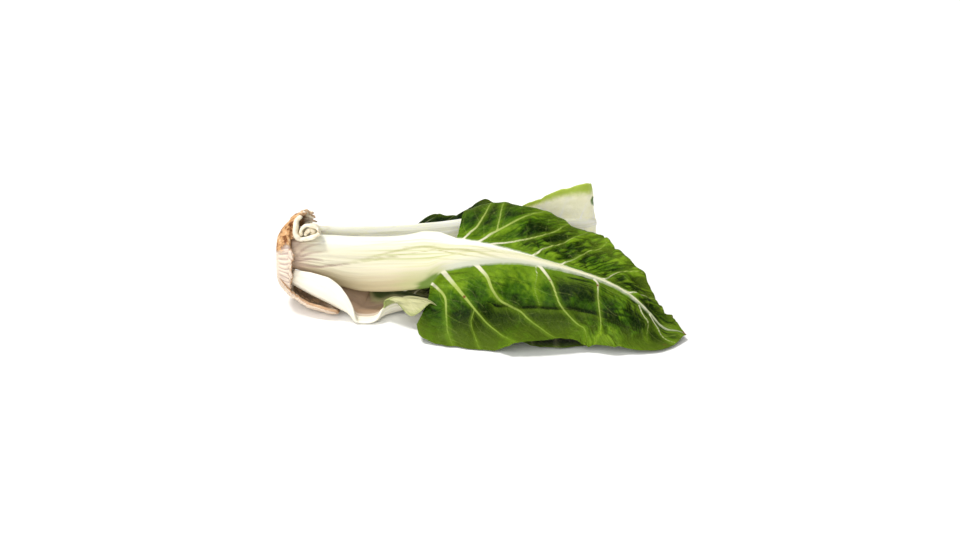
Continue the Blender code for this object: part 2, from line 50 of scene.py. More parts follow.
# The tables below count x from the cut face, in millimetres
TABLE_ORIGIN = np.array([-147.5, -3.0, -0.6])
# Height of the floor in these tables
FLOOR_HEIGHT = 0.6

# %% [markdown]
# The head was photographed from about 25 degrees above the table with a long lens,
# so there is little perspective. The same view is set up first. A camera can be
# turned by hand until it fits, but aiming it along a direction is exact and easy to
# change.

# %% The camera
def aim(thing, place, target):
    """Turn a camera or light at a place so that it looks at a target"""
    thing.location = place
    way = Vector(target) - Vector(place)
    thing.rotation_euler = way.to_track_quat("-Z", "Y").to_euler()


VIEW_TARGET = (0.0005, -0.0130, 0.0299)
VIEW_DISTANCE = 1.6
VIEW_ELEVATION = math.radians(25)

bpy.ops.object.select_all(action="DESELECT")
bpy.ops.object.camera_add()
camera = bpy.context.object
camera.name = "photo_camera"
camera.data.sensor_width = 36
camera.data.lens = 82.2
camera.data.clip_start = 0.05
camera.data.dof.use_dof = False
aim(camera, (VIEW_TARGET[0],
             VIEW_TARGET[1] - VIEW_DISTANCE * math.cos(VIEW_ELEVATION),
             VIEW_TARGET[2] + VIEW_DISTANCE * math.sin(VIEW_ELEVATION)), VIEW_TARGET)
bpy.context.scene.camera = camera
print("camera:", round(camera.data.lens, 1), "mm lens,", VIEW_DISTANCE, "m away")

# %% [markdown]
# The photo is lit softly from above and from the front, with hardly a shadow. Area
# lights near the head would do, but suns with a wide angle light all leaves alike and
# are easier to balance. A pale world fills the shadows. The floor is one white sheet.

# %% Light and floor
def add_sun(name, energy, degrees, place, colour=(1.0, 1.0, 1.0)):
    bpy.ops.object.light_add(type="SUN")
    light = bpy.context.object
    light.name = name
    light.data.energy = energy
    light.data.angle = math.radians(degrees)
    light.data.color = colour
    aim(light, place, (0, 0, 0))


add_sun("top_light", 2.3, 16, (-0.45, 0.05, 1.2), (1.0, 0.99, 0.96))
add_sun("front_light", 1.9, 60, (-0.35, -1.0, 0.75))

world = bpy.data.worlds.new("studio")
world.use_nodes = True
world.node_tree.nodes["Background"].inputs["Color"].default_value = (1.0, 0.97, 0.93, 1)
world.node_tree.nodes["Background"].inputs["Strength"].default_value = 0.30
bpy.context.scene.world = world
bpy.context.scene.view_settings.view_transform = "Standard"
bpy.context.scene.view_settings.look = "None"

bpy.ops.mesh.primitive_plane_add(size=12, location=(0, 0, 0))
floor = bpy.context.object
floor.name = "floor"
print("floor:", round(floor.dimensions.x), "m wide")

# %% [markdown]
# Shaders here are sums of masks, and long sums are hard to read as node wiring. A
# small class wraps a socket, so that Python's own operators add the Math nodes.

# %% A socket that does arithmetic
class Value:
    """Output socket of a finish; arithmetic on it adds Math nodes"""

    def __init__(self, finish, socket):
        self.finish = finish
        self.socket = socket

    def maths(self, operation, first, second):
        return self.finish.node("ShaderNodeMath", {"operation": operation}, {0: first, 1: second})

    def __add__(self, other):
        return self.maths("ADD", self, other)

    def __sub__(self, other):
        return self.maths("SUBTRACT", self, other)

    def __rsub__(self, other):
        return self.maths("SUBTRACT", other, self)

    def __mul__(self, other):
        return self.maths("MULTIPLY", self, other)

    def size(self):
        return self.maths("ABSOLUTE", self, 0.0)

    __radd__ = __add__
    __rmul__ = __mul__


print("a Value knows:", [name for name in vars(Value) if name.startswith("__r")])

# %% [markdown]
# A finish is a material with a few ways to add nodes: noise, a net of cells, a soft
# step between two limits, and colours painted over one another like coats of glaze.
# Each coat has a mask that says where it covers. The floor is the first to get one.

# %% A finish made of coats
class Finish:
    """A material, and the few ways in which its nodes are added"""

    def __init__(self, name):
        self.material = bpy.data.materials.new(name)
        self.material.use_nodes = True
        self.tree = self.material.node_tree
        self.skin = self.tree.nodes["Principled BSDF"]

    def node(self, kind, settings, inputs, output=0):
        made = self.tree.nodes.new(kind)
        for name, value in settings.items():
            setattr(made, name, value)
        for key, value in inputs.items():
            self.feed(made.inputs[key], value)
        return Value(self, made.outputs[output])

    def feed(self, socket, value):
        if isinstance(value, Value):
            self.tree.links.new(value.socket, socket)
        elif isinstance(value, tuple) and len(value) == 3 and socket.type == "RGBA":
            socket.default_value = (*value, 1.0)
        else:
            socket.default_value = value

    def attribute(self, name, output="Fac"):
        return self.node("ShaderNodeAttribute", {"attribute_name": name}, {}, output)

    def noise(self, where, scale, detail=2.0, roughness=0.5):
        return self.node("ShaderNodeTexNoise", {}, {
            "Vector": where, "Scale": scale, "Detail": detail, "Roughness": roughness})

    def cells(self, where, scale):
        """Distance to the walls of a net of cells"""
        return self.node("ShaderNodeTexVoronoi", {"feature": "DISTANCE_TO_EDGE"},
                         {"Vector": where, "Scale": scale})

    def stretch(self, where, factors):
        return self.node("ShaderNodeMapping", {}, {"Vector": where, "Scale": factors})

    def rise(self, value, start, stop):
        """0 before start, 1 after stop, smooth between"""
        return self.node("ShaderNodeMapRange", {"interpolation_type": "SMOOTHSTEP"},
                         {0: value, 1: start, 2: stop})

    def fall(self, value, start, stop):
        return 1.0 - self.rise(value, start, stop)

    def paint(self, colour, *coats):
        """Colours laid over one another, each as far as its mask says"""
        for mask, tint in coats:
            colour = self.node("ShaderNodeMix", {"data_type": "RGBA"}, {0: mask, 6: colour, 7: tint}, 2)
        return colour

    def bump(self, height, depth, strength):
        return self.node("ShaderNodeBump", {}, {"Height": height, "Distance": depth, "Strength": strength})

    def set(self, **sockets):
        for name, value in sockets.items():
            self.feed(self.skin.inputs[name.replace("_", " ")], value)


# %% The white of the floor
floor_white = Finish("floor_white")
floor_white.set(Base_Color=(0.93, 0.93, 0.93), Roughness=0.9, Specular_IOR_Level=0.0)
floor.data.materials.append(floor_white.material)
print("floor finish:", len(floor_white.tree.nodes), "nodes")

# %% [markdown]
# A chard leaf is a bent sheet, so its form is written down the way a tailor would:
# a midline in space, and at each point of it how steeply the leaf falls away, at
# equal steps outwards. A flat pattern, in distance along and out, is then laid on
# that form. The tables repeat the solids' own, so that each mesh stays in its place.

# %% Smooth curves through a table
def through(rows, t):
    """Smooth curve through the rows of a table, at fractional row t"""
    rows = np.asarray(rows, float)
    last = len(rows) - 1
    t = np.clip(np.asarray(t, float), 0, last - 1e-9)
    i = t.astype(int)
    f = (t - i)[..., None]
    here, after = rows[i], rows[i + 1]
    before = np.where((i > 0)[..., None], rows[np.maximum(i - 1, 0)], 2 * here - after)
    beyond = np.where((i < last - 1)[..., None], rows[np.minimum(i + 2, last)], 2 * after - here)
    return 0.5 * (2 * here + (after - before) * f
                  + (2 * before - 5 * here + 4 * after - beyond) * f ** 2
                  + (3 * here - before - 3 * after + beyond) * f ** 3)


def read_off(rows, along, column=1):
    return np.interp(along, [r[0] for r in rows], [r[column] for r in rows])


def lengths(points):
    """Distance from the first point of a polyline to each of its points"""
    return np.concatenate([[0.0], np.cumsum(np.linalg.norm(np.diff(points, axis=0), axis=1))])


def smooth(value, start, stop):
    t = np.clip((value - start) / (stop - start), 0, 1)
    return t * t * (3 - 2 * t)


def rounded(share, least):
    """Quarter circle from a thin edge at share 0 to full thickness at 1"""
    return np.sqrt(np.clip(1 - (1 - np.clip(share, 0, 1)) ** 2, least, 1))


def in_plane(x, y):
    """Flat places as vectors, for the shader"""
    return np.stack([x, y, 0 * y], -1).reshape(-1, 3)


print("halfway through 0, 1, 0:", through([(0,), (1,), (0,)], [0.5]).round(3).tolist())

# %% The curved form of a leaf
SLOPES = 5
STRIPS = 32
ROOM_BELOW = 1.1
FLOOR_SOFTNESS = 2.0


def five(slopes):
    """A row of slopes whose last one goes on"""
    return (*slopes, *slopes[-1:] * (SLOPES - len(slopes)))


class LeafForm:
    """The surface that a leaf lies in"""

    def __init__(self, table):
        self.step = table["step"]
        self.outer = table["outer"]
        # a leaf with its outer face up keeps room below for its thickness
        self.lowest = FLOOR_HEIGHT + (ROOM_BELOW if self.outer > 0 else 0.0)
        self.rows = np.array([(*r[:3], *five(r[3]), *five(r[4])) for r in table["lie"]], float)
        self.rows_at = np.linspace(0, len(self.rows) - 1, 1501)
        self.along_at = lengths(through(self.rows[:, :3], self.rows_at))
        self.length = self.along_at[-1]

    def read(self, along, columns):
        row = np.interp(np.clip(along, 0, self.length), self.along_at, self.rows_at)
        return through(self.rows[:, columns], row)

    def point(self, along, out):
        """Place on the surface; out is negative on the near half"""
        line = slice(0, 3)
        clear = np.clip(along, 0, self.length)
        way = self.read(clear + 3, line) - self.read(clear - 3, line)
        way = way / np.linalg.norm(way, axis=-1)[..., None]
        across = np.cross((0.0, 0.0, 1.0), way)
        across = across / np.linalg.norm(across, axis=1)[:, None]
        up = np.cross(way, across)
        near = out < 0
        slopes = self.read(clear, slice(3, None))
        slopes = np.where(near[:, None], slopes[:, :SLOPES], slopes[:, SLOPES:])
        reach = np.abs(out)
        side = np.zeros(len(out))
        drop = np.zeros(len(out))
        vertex = np.arange(len(out))
        for k in range(STRIPS):
            place = reach * (k + 0.5) / STRIPS / self.step
            i = np.minimum(place.astype(int), SLOPES - 2)
            f = np.minimum(place - i, 1.0)
            angle = np.radians(slopes[vertex, i] * (1 - f) + slopes[vertex, i + 1] * f)
            side += np.cos(angle) * reach / STRIPS
            drop += np.sin(angle) * reach / STRIPS
        place = self.read(clear, line) + np.where(near, -side, side)[:, None] * across - drop[:, None] * up
        # softly kept above the floor
        height = place[:, 2] - self.lowest
        place[:, 2] = self.lowest + 0.5 * (height + np.sqrt(height ** 2 + FLOOR_SOFTNESS ** 2))
        return place

    def outward(self, along, out):
        """Direction out of the leaf's outer face"""
        d = 0.6
        ahead = self.point(along + d, out) - self.point(along - d, out)
        aside = self.point(along, out + d) - self.point(along, out - d)
        normal = np.cross(ahead, aside)
        return self.outer * normal / np.linalg.norm(normal, axis=-1)[..., None]


print("slopes are followed in", STRIPS, "strips on each side of a leaf")

# %% [markdown]
# The large leaf lies in front and shows its underside. Its table gives the midline
# with its slopes (x, y, z, then slopes on the near and on the far side), the half
# widths of the stalk, the thickness (middle, edge and bulge), the outline of both
# halves and each large vein with its half width at its start and at its end. The
# other leaves have tables of the same kind, and the helpers are tried on this one.

# %% The large leaf: form and veins
MAIN_LEAF = {
    "step": 20.0, "outer": 1,
    "lie": [
        (11, -15, 44, (60, 105, 120), (-60, -20, 0)),
        (35, -14, 43, (55, 100, 110), (-55, -15, 5)),
        (60, -13, 41, (50, 80, 70, 50, 40), (-50, -10, 5)),
        (90, -12, 41, (38, 52, 14, 25, 28), (-40, -10, 10)),
        (119, -13, 43, (30, 48, 30, 30, 25), (-35, -35, 0, 60, 80)),
        (148, -15, 46, (25, 42, 50, 22, 30), (-38, -46, -8, 80, 95)),
        (177, -19, 45, (25, 42, 50, 14, 25), (-30, -46, -20, 80, 95)),
        (206, -27, 41, (25, 46, 45, -8, -24), (-20, -36, 0, 80, 95)),
        (236, -38, 35, (20, 42, 30, -10, -20), (-20, -25, 10, 70, 90)),
        (256, -47, 27, (15, 40, 30, 0), (-15, -15, 10, 50, 60)),
        (270, -55, 16, (10, 20, 10, 0), (-10, -5, 10, 40)),
        (281, -61, 5, (5, 5, 0), (-10, -10, 0, 5)),
        (295, -64, 3, (0, 0), (-10, -10, 0))],
    "stalk_near": [
        (0, 9), (12, 12), (25, 17), (38, 22), (50, 24), (80, 25), (100, 24.5), (105, 18), (110, 13),
        (123, 12), (138, 11), (153, 8.5), (168, 6.5), (183, 5), (198, 3.2), (213, 2.2), (228, 1.7),
        (250, 1.3), (274, 0.7), (290, 0.35), (304, 0.15)],
    "stalk_far": [
        (0, 18), (25, 20), (50, 22), (80, 24), (95, 25), (108, 21), (121, 14), (137, 9.5), (151, 6.5),
        (166, 4.5), (181, 2.6), (196, 1.9), (211, 1.7), (227, 1.5), (250, 1.3), (274, 0.7),
        (290, 0.35), (304, 0.15)],
    "thick": [
        (0, 7.0, 2.6, 0), (60, 6.5, 2.2, 0), (100, 6.0, 1.8, 0.4), (135, 5.5, 1.4, 2.2),
        (170, 4.6, 1.2, 2.2), (205, 3.2, 1.0, 1.5), (250, 2.4, 0.8, 1.2), (288, 1.4, 0.7, 0.6),
        (304, 0.6, 0.5, 0.1)],
    "near": [
        (92, 57, 101), (95, 67, 101.8), (103, 73.5, 102.6), (115, 78, 104), (140, 82, 107),
        (168, 83, 110.5), (190, 79, 116), (214, 69, 133), (229, 59.5, 150), (237, 56.5, 168),
        (245, 54.5, 185), (259, 52, 218), (275, 43, 250), (289, 27, 275), (296, 15, 289),
        (298, 11, 292), (304, 0, 304)],
    "far": [
        (126, 44, 121), (133, 51, 123), (144, 55, 126), (158, 57, 131), (180, 55, 137), (198, 50, 150),
        (205, 47, 170), (212, 43.5, 183), (222, 37, 199), (232, 31, 214), (247, 24.5, 231),
        (262, 20, 247), (275, 15, 262), (284, 15, 274), (292, 12, 288), (295, 10, 290), (304, 0, 304)],
    "veins": [
        ([(98, -19), (106, -25), (111, -33), (112, -48), (113, -64), (116, -76)], 1.8, 0.2),
        ([(106, -9), (111, -14), (118, -24), (126, -35), (136, -46), (151, -57),
          (173, -69), (186, -79)], 2.8, 0.2),
        ([(135, -46), (132, -57), (138, -68), (144, -80)], 0.6, 0.3),
        ([(134, -9), (139, -14), (145, -21), (150, -30), (158, -37), (170, -40),
          (180, -42), (195, -50), (212, -56), (222, -64)], 2.2, 0.25),
        ([(180, -6), (183, -12), (185, -23), (192, -33)], 0.5, 0.25),
        ([(182, -4), (194, -13), (203, -24), (210, -31), (224, -38), (237, -43),
          (247, -53)], 1.5, 0.25),
        ([(224, -2), (228, -5), (232, -13), (240, -24), (250, -35), (262, -50)], 0.9, 0.3),
        ([(262, -2), (268, -6), (276, -9), (284, -20)], 0.6, 0.3),
        ([(272, -1), (283, -5), (290, -9), (297, -12)], 0.6, 0.3),
        ([(124, 10), (127, 14), (130, 18), (135, 23), (140, 37), (144, 54)], 1.0, 0.35),
        ([(148, 19), (149, 30), (150, 44), (153, 56)], 0.5, 0.3),
        ([(133, 7), (137, 10), (143, 15), (150, 20), (159, 27), (168, 36), (180, 52)], 1.2, 0.35),
        ([(140, 5), (146, 8), (158, 11), (170, 16), (179, 22), (186, 31), (191, 42),
          (200, 49)], 1.1, 0.3),
        ([(174, 2), (178, 6), (185, 14), (196, 25), (202, 36), (207, 45)], 1.0, 0.3),
        ([(195, 1), (199, 4), (204, 12), (211, 22), (217, 28), (220, 38)], 0.9, 0.3),
        ([(228, 1), (231, 3), (234, 9), (238, 14), (243, 18), (250, 23)], 0.7, 0.3),
        ([(249, 1), (252, 3), (258, 8), (268, 17)], 0.6, 0.3)],
}
print("large leaf:", len(MAIN_LEAF["veins"]), "veins,", round(LeafForm(MAIN_LEAF).length), "mm long")

# %% [markdown]
# Each half of a blade is drawn flat first, as lines that start on the midrib and run
# out to the margin the way that the veins do. A row of a leaf's outline therefore
# gives a place on the margin and where on the midrib its line starts.

# %% The flat pattern of half a blade
class HalfBlade:
    """Flat pattern of one half of a blade: from the stalk's edge to the outline"""

    def __init__(self, table, side):
        rows = np.array(table["near" if side < 0 else "far"], float)
        self.side = side
        self.stalk = table["stalk_near" if side < 0 else "stalk_far"]
        self.end = rows[-1, 2]
        t = np.linspace(0, len(rows) - 1, 4001)
        self.edge = through(rows[:, :2], t)
        self.start_at = np.interp(t, np.arange(len(rows)), rows[:, 2])
        self.length_at = lengths(self.edge)
        self.start = self.start_at[0]

    def outline(self, start):
        return np.stack([np.interp(start, self.start_at, self.edge[:, k]) for k in (0, 1)], -1)

    def edge_length(self, start):
        return np.interp(start, self.start_at, self.length_at)

    def place(self, start, share):
        """Flat place on the line from the midrib at start, at a share of its way out"""
        end = self.outline(start)
        inner = read_off(self.stalk, start)
        along = start + (end[..., 0] - start) * share ** 1.15
        out = inner + (end[..., 1] - inner) * share
        return along, out


trial_halves = {side: HalfBlade(MAIN_LEAF, side) for side in (-1, 1)}
print("margins in mm:", [round(half.length_at[-1]) for half in trial_halves.values()])

# %% [markdown]
# Puckers and crumples need noise on the flat pattern, the same on each run. Blender's
# own noise would do, but a small table of seeded random numbers, looked up smoothly,
# works on whole arrays at once.

# %% Noise on the flat pattern
LATTICE = np.random.default_rng(20).uniform(-1, 1, (64, 64))


def waver(x, y, seed=0):
    """Smooth noise around 0, mostly between -1 and 1, with features one unit apart"""
    x = np.asarray(x, float) + 7.31 * seed
    y = np.asarray(y, float) + 3.77 * seed
    i = np.floor(x).astype(int)
    j = np.floor(y).astype(int)
    f = x - i
    g = y - j
    f = f * f * f * (f * (6 * f - 15) + 10)
    g = g * g * g * (g * (6 * g - 15) + 10)
    corner = lambda a, b: LATTICE[(i + a) % 64, (j + b) % 64]
    low = corner(0, 0) * (1 - f) + corner(1, 0) * f
    high = corner(0, 1) * (1 - f) + corner(1, 1) * f
    return (low * (1 - g) + high * g) * 1.6


sample = waver(np.linspace(0, 60, 2000), np.zeros(2000))
print("noise from", round(sample.min(), 2), "to", round(sample.max(), 2))

# %% [markdown]
# Large veins are drawn as curves. On the large leaf they are traced one by one, and on
# the others they follow the lines of the pattern. Twigs branch off them at seeded
# random places and stop where they would meet another vein, as in a real leaf.

# %% Veins and twigs
def dense(points, gap):
    """A polyline as many close points on the smooth curve through it"""
    line = through(points, np.linspace(0, len(points) - 1, 400))
    way = lengths(line)
    at = np.linspace(0, way[-1], max(3, int(way[-1] / gap)))
    return np.stack([np.interp(at, way, line[:, k]) for k in (0, 1)], 1), at / way[-1]


def vein_curves(table, halves):
    """The large veins, each with its half width at its start and at its end"""
    veins = [(np.array(points, float), first, last) for points, first, last in table.get("veins", [])]
    for name, side in (("near", -1), ("far", 1)):
        for start in table.get("vein_rows", {}).get(name, []):
            share = np.linspace(0, 1, 9)
            along, out = halves[side].place(np.full(9, float(start)), share)
            wander = 2.0 * np.sin(share * 5 + start) * share * (1 - share)
            veins.append((np.stack([along + wander, side * out], 1), 0.9, 0.3))
    return veins


def grow_twig(rng, spot, heading, bend, others):
    """A thin branch, a millimetre at a time, up to the next vein"""
    path = [spot.copy()]
    for _ in range(int(rng.uniform(10, 34))):
        bend += rng.normal(0, 0.012)
        heading = np.array([heading[0] - bend * heading[1], heading[1] + bend * heading[0]])
        heading = heading / np.hypot(*heading)
        spot = spot + heading
        path.append(spot.copy())
        if len(path) > 3 and np.min(np.hypot(*(others - spot).T)) < 0.8:
            break
    return path


def twig_curves(veins, seed):
    """Thin branches at both sides of each vein"""
    rng = np.random.default_rng(seed)
    lines = [dense(points, 1.0)[0] for points, _, _ in veins]
    twigs = []
    for n, line in enumerate(lines):
        others = np.concatenate([t for m, t in enumerate(lines) if m != n])
        turn = 1
        k = int(rng.integers(3, 9))
        while k < len(line) - 3:
            way = line[k + 1] - line[k - 1]
            way = way / np.hypot(*way)
            angle = math.radians(turn * rng.uniform(40, 70))
            heading = np.array([way[0] * math.cos(angle) - way[1] * math.sin(angle),
                                way[0] * math.sin(angle) + way[1] * math.cos(angle)])
            path = grow_twig(rng, line[k], heading, -turn * rng.uniform(0.0, 0.03), others)
            if len(path) > 5:
                twigs.append((np.array(path), 0.30, 0.1))
            turn = -turn
            k += int(rng.integers(4, 10))
    return twigs


trial_veins = vein_curves(MAIN_LEAF, trial_halves)
print("longest vein:", round(max(lengths(points)[-1] for points, _, _ in trial_veins)), "mm")

# %% [markdown]
# The shader can't search for curves, so the mesh does: each vertex stores how far it
# is from the nearest vein or fold, in millimetres. Drawn from such distances, a line
# stays sharp however coarse the mesh is. A search tree keeps this fast.

# %% Distances to lines on the pattern
FAR_FROM_VEINS = 14.0
FAR_FROM_LINES = 6.0
POINT_GAP = 0.4
MARK_REACH = 8


def search_tree(points):
    tree = kdtree.KDTree(len(points))
    for n, (x, y) in enumerate(points):
        tree.insert((x, y, 0.0), n)
    tree.balance()
    return tree


def gap_to(curves, along, out):
    """Distance of each place to the nearest curve, less that curve's half width"""
    points, widths = [], []
    for line, first, last in curves:
        close, share = dense(line, POINT_GAP)
        points.append(close)
        widths.append(first + (last - first) * share ** 0.33)
    widths = np.concatenate(widths)
    tree = search_tree(np.concatenate(points))
    gap = np.zeros(len(along))
    width = np.zeros(len(along))
    for n, (x, y) in enumerate(zip(along.tolist(), out.tolist())):
        spot, index, distance = tree.find((x, y, 0.0))
        gap[n] = distance - widths[index]
        width[n] = widths[index]
    return np.minimum(gap, FAR_FROM_VEINS), width


def line_marks(lines, along, out):
    """Distance to the nearest soft-ended line, in its own widths, and that line's strength"""
    gap = np.full(len(along), FAR_FROM_LINES)
    strength = np.zeros(len(along))
    for line, width, force in lines:
        close, share = dense(line, POINT_GAP)
        tree = search_tree(close)
        places = np.stack([along, out], 1)
        nearby = (places > close.min(0) - MARK_REACH).all(1) & (places < close.max(0) + MARK_REACH).all(1)
        for k in np.flatnonzero(nearby):
            spot, index, distance = tree.find((along[k], out[k], 0.0))
            if distance / width < gap[k]:
                gap[k] = distance / width
                strength[k] = force * math.sin(math.pi * min(max(share[index], 0.0), 1.0)) ** 0.5
    return gap, strength


def spots(marks, along, out):
    """Sum of soft round spots, each given by its place, its reach and its height"""
    total = np.zeros(len(along))
    for s, o, reach, amount in marks:
        total += amount * np.exp(-((along - s) ** 2 + (out - o) ** 2) / reach ** 2)
    return total


gap, _ = gap_to(trial_veins, np.array([150.0]), np.array([-20.0]))
print("a place near the midrib is", round(gap[0], 1), "mm from a vein")

# %% [markdown]
# One grid covers a whole leaf: a strip for the stalk, and on each side a fan of lines
# that starts on the strip's edge. Rows lie about a millimetre apart along the margin,
# so they are close where the blade fans out. Stalk and blade could be two pieces, but
# then a seam would show where the midrib runs out into the sheet.

# %% Rows, strip and fan on the flat pattern
def mesh_rows(form, halves, spacing):
    """Places on the midrib where the mesh has a row"""
    s = np.linspace(0, form.length, 12001)
    need = np.full(len(s) - 1, (s[1] - s[0]) / (spacing * 1.15))
    for half in halves.values():
        arc = half.edge_length(np.clip(s, half.start, half.end))
        need = np.maximum(need, np.diff(arc) / spacing)
    total = np.concatenate([[0.0], np.cumsum(need)])
    rows = np.interp(np.linspace(0, total[-1], int(total[-1]) + 1), total, s)
    for half in halves.values():
        rows[np.argmin(np.abs(rows - half.start))] = half.start
    return rows


def stalk_strip(table, rows, columns):
    """Rows across the stalk, a little closer together at its edges"""
    turn = np.linspace(-1, 1, columns + 1)
    turn = 0.75 * turn + 0.25 * np.sin(turn * math.pi / 2)
    turn = np.repeat(turn[None, :], len(rows), 0)
    near, far = (read_off(table[k], rows)[:, None] for k in ("stalk_near", "stalk_far"))
    return rows[:, None] + 0 * turn, np.where(turn < 0, turn * near, turn * far), turn, 0 * turn


def blade_fan(form, half, rows, look, spacing):
    """Places on one half of the blade, with lobes and small nicks in its margin"""
    start = rows[rows >= half.start - 1e-6][:, None]
    end = half.outline(start[:, 0])
    reach = np.hypot(end[:, :1] - start, end[:, 1:])
    columns = int(np.ceil(reach.max() / spacing))
    start = np.repeat(start, columns, 1)
    share = np.repeat(np.linspace(0, 1, columns + 1)[None, 1:], len(start), 0)
    along, out = half.place(start, share)
    for side, at, width, amount in look.get("lobes", []):
        if side == half.side:
            out = out + amount * share ** 3 * np.exp(-((start - at) / width) ** 2)
    arc = half.edge_length(start)
    nick = 0.7 * waver(arc / 5.0, arc * 0, 3 + half.side)
    nick = nick + 1.2 * waver(arc / 13.0, arc * 0, 5 + half.side)
    out = out + nick * share ** 6 * np.clip(reach / 25, 0, 1)
    # where a rim_width is given, what marks the margin fades in over the whole blade
    rim = (1 - share) * look.get("rim_width", reach)
    return np.minimum(along, form.length), half.side * out, np.full(along.shape, half.side), rim


print(len(mesh_rows(LeafForm(MAIN_LEAF), trial_halves, 4.0)), "rows at a spacing of 4 mm")

# %% The whole grid of a leaf
# stands for a place where no margin is near
INNERMOST = 50.0


class LeafGrid:
    """Flat places of all vertices of a leaf, and what each one knows about itself"""

    def __init__(self, table, look, spacing):
        self.form = LeafForm(table)
        self.halves = {-1: HalfBlade(table, -1), 1: HalfBlade(table, 1)}
        rows = mesh_rows(self.form, self.halves, spacing)
        stalk = stalk_strip(table, rows, look.get("stalk_columns", 36))
        parts = [stalk]
        first = stalk[0].size
        self.grids = [np.arange(first).reshape(stalk[0].shape)]
        for side, half in self.halves.items():
            fan = blade_fan(self.form, half, rows, look, spacing)
            index = first + np.arange(fan[0].size).reshape(fan[0].shape)
            edge = self.grids[0][rows >= half.start - 1e-6, 0 if side < 0 else -1]
            self.grids.append(np.concatenate([edge[:, None], index], 1))
            parts.append(fan)
            first += fan[0].size
        columns = [np.concatenate([part[k].ravel() for part in parts]) for k in range(4)]
        self.along, self.out, self.turn, rim = columns
        self.blade = np.arange(len(rim)) >= stalk[0].size
        near = self.out < 0
        widths = (read_off(table[k], self.along) for k in ("stalk_near", "stalk_far"))
        self.half_width = np.where(near, *widths)
        self.inside = self.half_width - np.abs(self.out)
        self.start = np.where(near, self.halves[-1].start, self.halves[1].start)
        self.hump = np.clip(1 - self.turn ** 2, 0, 1) * ~self.blade
        # on the stalk the margin counts only where no blade is
        on_stalk = np.where(self.along < self.start, self.inside, INNERMOST)
        self.rim = np.where(self.blade, rim, on_stalk)


trial = LeafGrid(MAIN_LEAF, {}, 4.0)
print("a coarse trial grid has", trial.along.size, "places")

# %% [markdown]
# The outer face and the inner one are the same grid moved apart by the thickness,
# which is several millimetres in the stalk and half of one in the blade, so the two
# flow into each other as they do in the plant. On top of that the stalk has long ribs,
# grooves between them and wrinkles at its foot.

# %% Thickness and the stalk's ribs
BLADE_THICK = 0.55
GROOVE_DEPTH = 0.5
WRINKLE_DEPTH = 0.8


def leaf_thickness(table, g):
    middle, edge = (read_off(table["thick"], g.along, k) for k in (1, 2))
    edge = np.where(g.along >= g.start, 0.6 + (edge - 0.6) * smooth(g.inside, -2.5, 1.5), edge)
    thick = edge + (middle - edge) * g.hump
    sheet = BLADE_THICK + np.maximum(edge - BLADE_THICK, 0) * smooth(g.inside, -4, 0)
    return np.where(g.blade, sheet, thick)


def stalk_relief(table, look, g):
    """Height of the stalk's face, and the distances to its grooves and wrinkles"""
    along, turn = g.along, g.turn
    if "lines" in look:
        line_gap, line_force = line_marks(look["lines"], along, g.out)
        foot_gap, foot_force = line_marks(look["foot_lines"], along, g.out)
    else:
        line_gap = np.abs(waver(turn * look["ribs"], along / 120, 12)) / 0.16
        line_force = smooth(np.abs(turn), 1.0, 0.8) * 0.35 * smooth(along, 15, 60)
        foot_gap = np.abs(waver(turn * 11, along / 14, 13)) / 0.3
        foot_force = (1 - smooth(along, 8, 38)) * look.get("foot", 0.5)
    line_force = line_force * ~g.blade
    foot_force = foot_force * ~g.blade
    fluting = 0.9 * np.abs(waver(turn * 6, along / 110, 2)) + 0.35 * np.abs(waver(turn * 15, along / 80, 5))
    cuts = GROOVE_DEPTH * np.exp(-line_gap ** 2) * line_force
    cuts += WRINKLE_DEPTH * np.exp(-foot_gap ** 2) * foot_force
    swell = 0.7 * waver(along / 38, g.out / 9, 11)
    ribs = (fluting * look.get("fluting", 1.0) - cuts + swell) * np.clip(g.half_width / 12, 0, 1)
    height = (read_off(table["thick"], along, 3) + ribs) * g.hump
    return height, {"line_gap": line_gap, "line_force": line_force,
                    "foot_gap": foot_gap, "foot_force": foot_force}


print("thickest place:", round(leaf_thickness(MAIN_LEAF, trial).max(), 1), "mm, ribs up to",
      round(stalk_relief(MAIN_LEAF, {"ribs": 5}, trial)[0].max(), 1), "mm")

# %% [markdown]
# Between its veins a chard blade bulges like a quilt, because it grows faster than
# they do, and where it is crowded it crumples into sharp folds. Sculpting this would
# take hours and never fit the veins. Here the sag is read from the distance to the
# nearest vein, and the folds are ridges of noise stretched along the veins' direction.

# %% Long creases in a blade
def long_creases(creases, g):
    """Steps in the sheet along a line, and the signed distance to the nearest one"""
    relief = np.zeros(len(g.along))
    crease = np.full(len(g.along), 9.0)
    for line, depth, wave in creases:
        at, place = np.array(line, float).T
        off = g.out - np.interp(g.along, at, place) - 1.3 * waver(g.along / wave, g.along * 0, 15)
        span = smooth(g.along, at[0] - 8, at[0] + 8) * smooth(g.along, at[-1] + 8, at[-1] - 8)
        step = 1 / (1 + np.exp(-np.clip(off / 0.5, -30, 30))) - 0.5
        relief += depth * step * np.exp(-(off / 11) ** 2) * span
        apart = np.clip(off, -9, 9) + np.where(off < 0, -9, 9) * (1 - span)
        crease = np.where(np.abs(apart) < np.abs(crease), apart, crease)
    return relief, crease


steps, _ = long_creases([([(150, 10), (200, 10)], 4.0, 9.0)], trial)
print("a trial crease steps up by", round(np.ptp(steps), 1), "mm")

# %% The blade's puckers and folds
FOLD_DEPTH = 1.3
CORD_HEIGHT = 0.75
TWIG_HEIGHT = 0.06


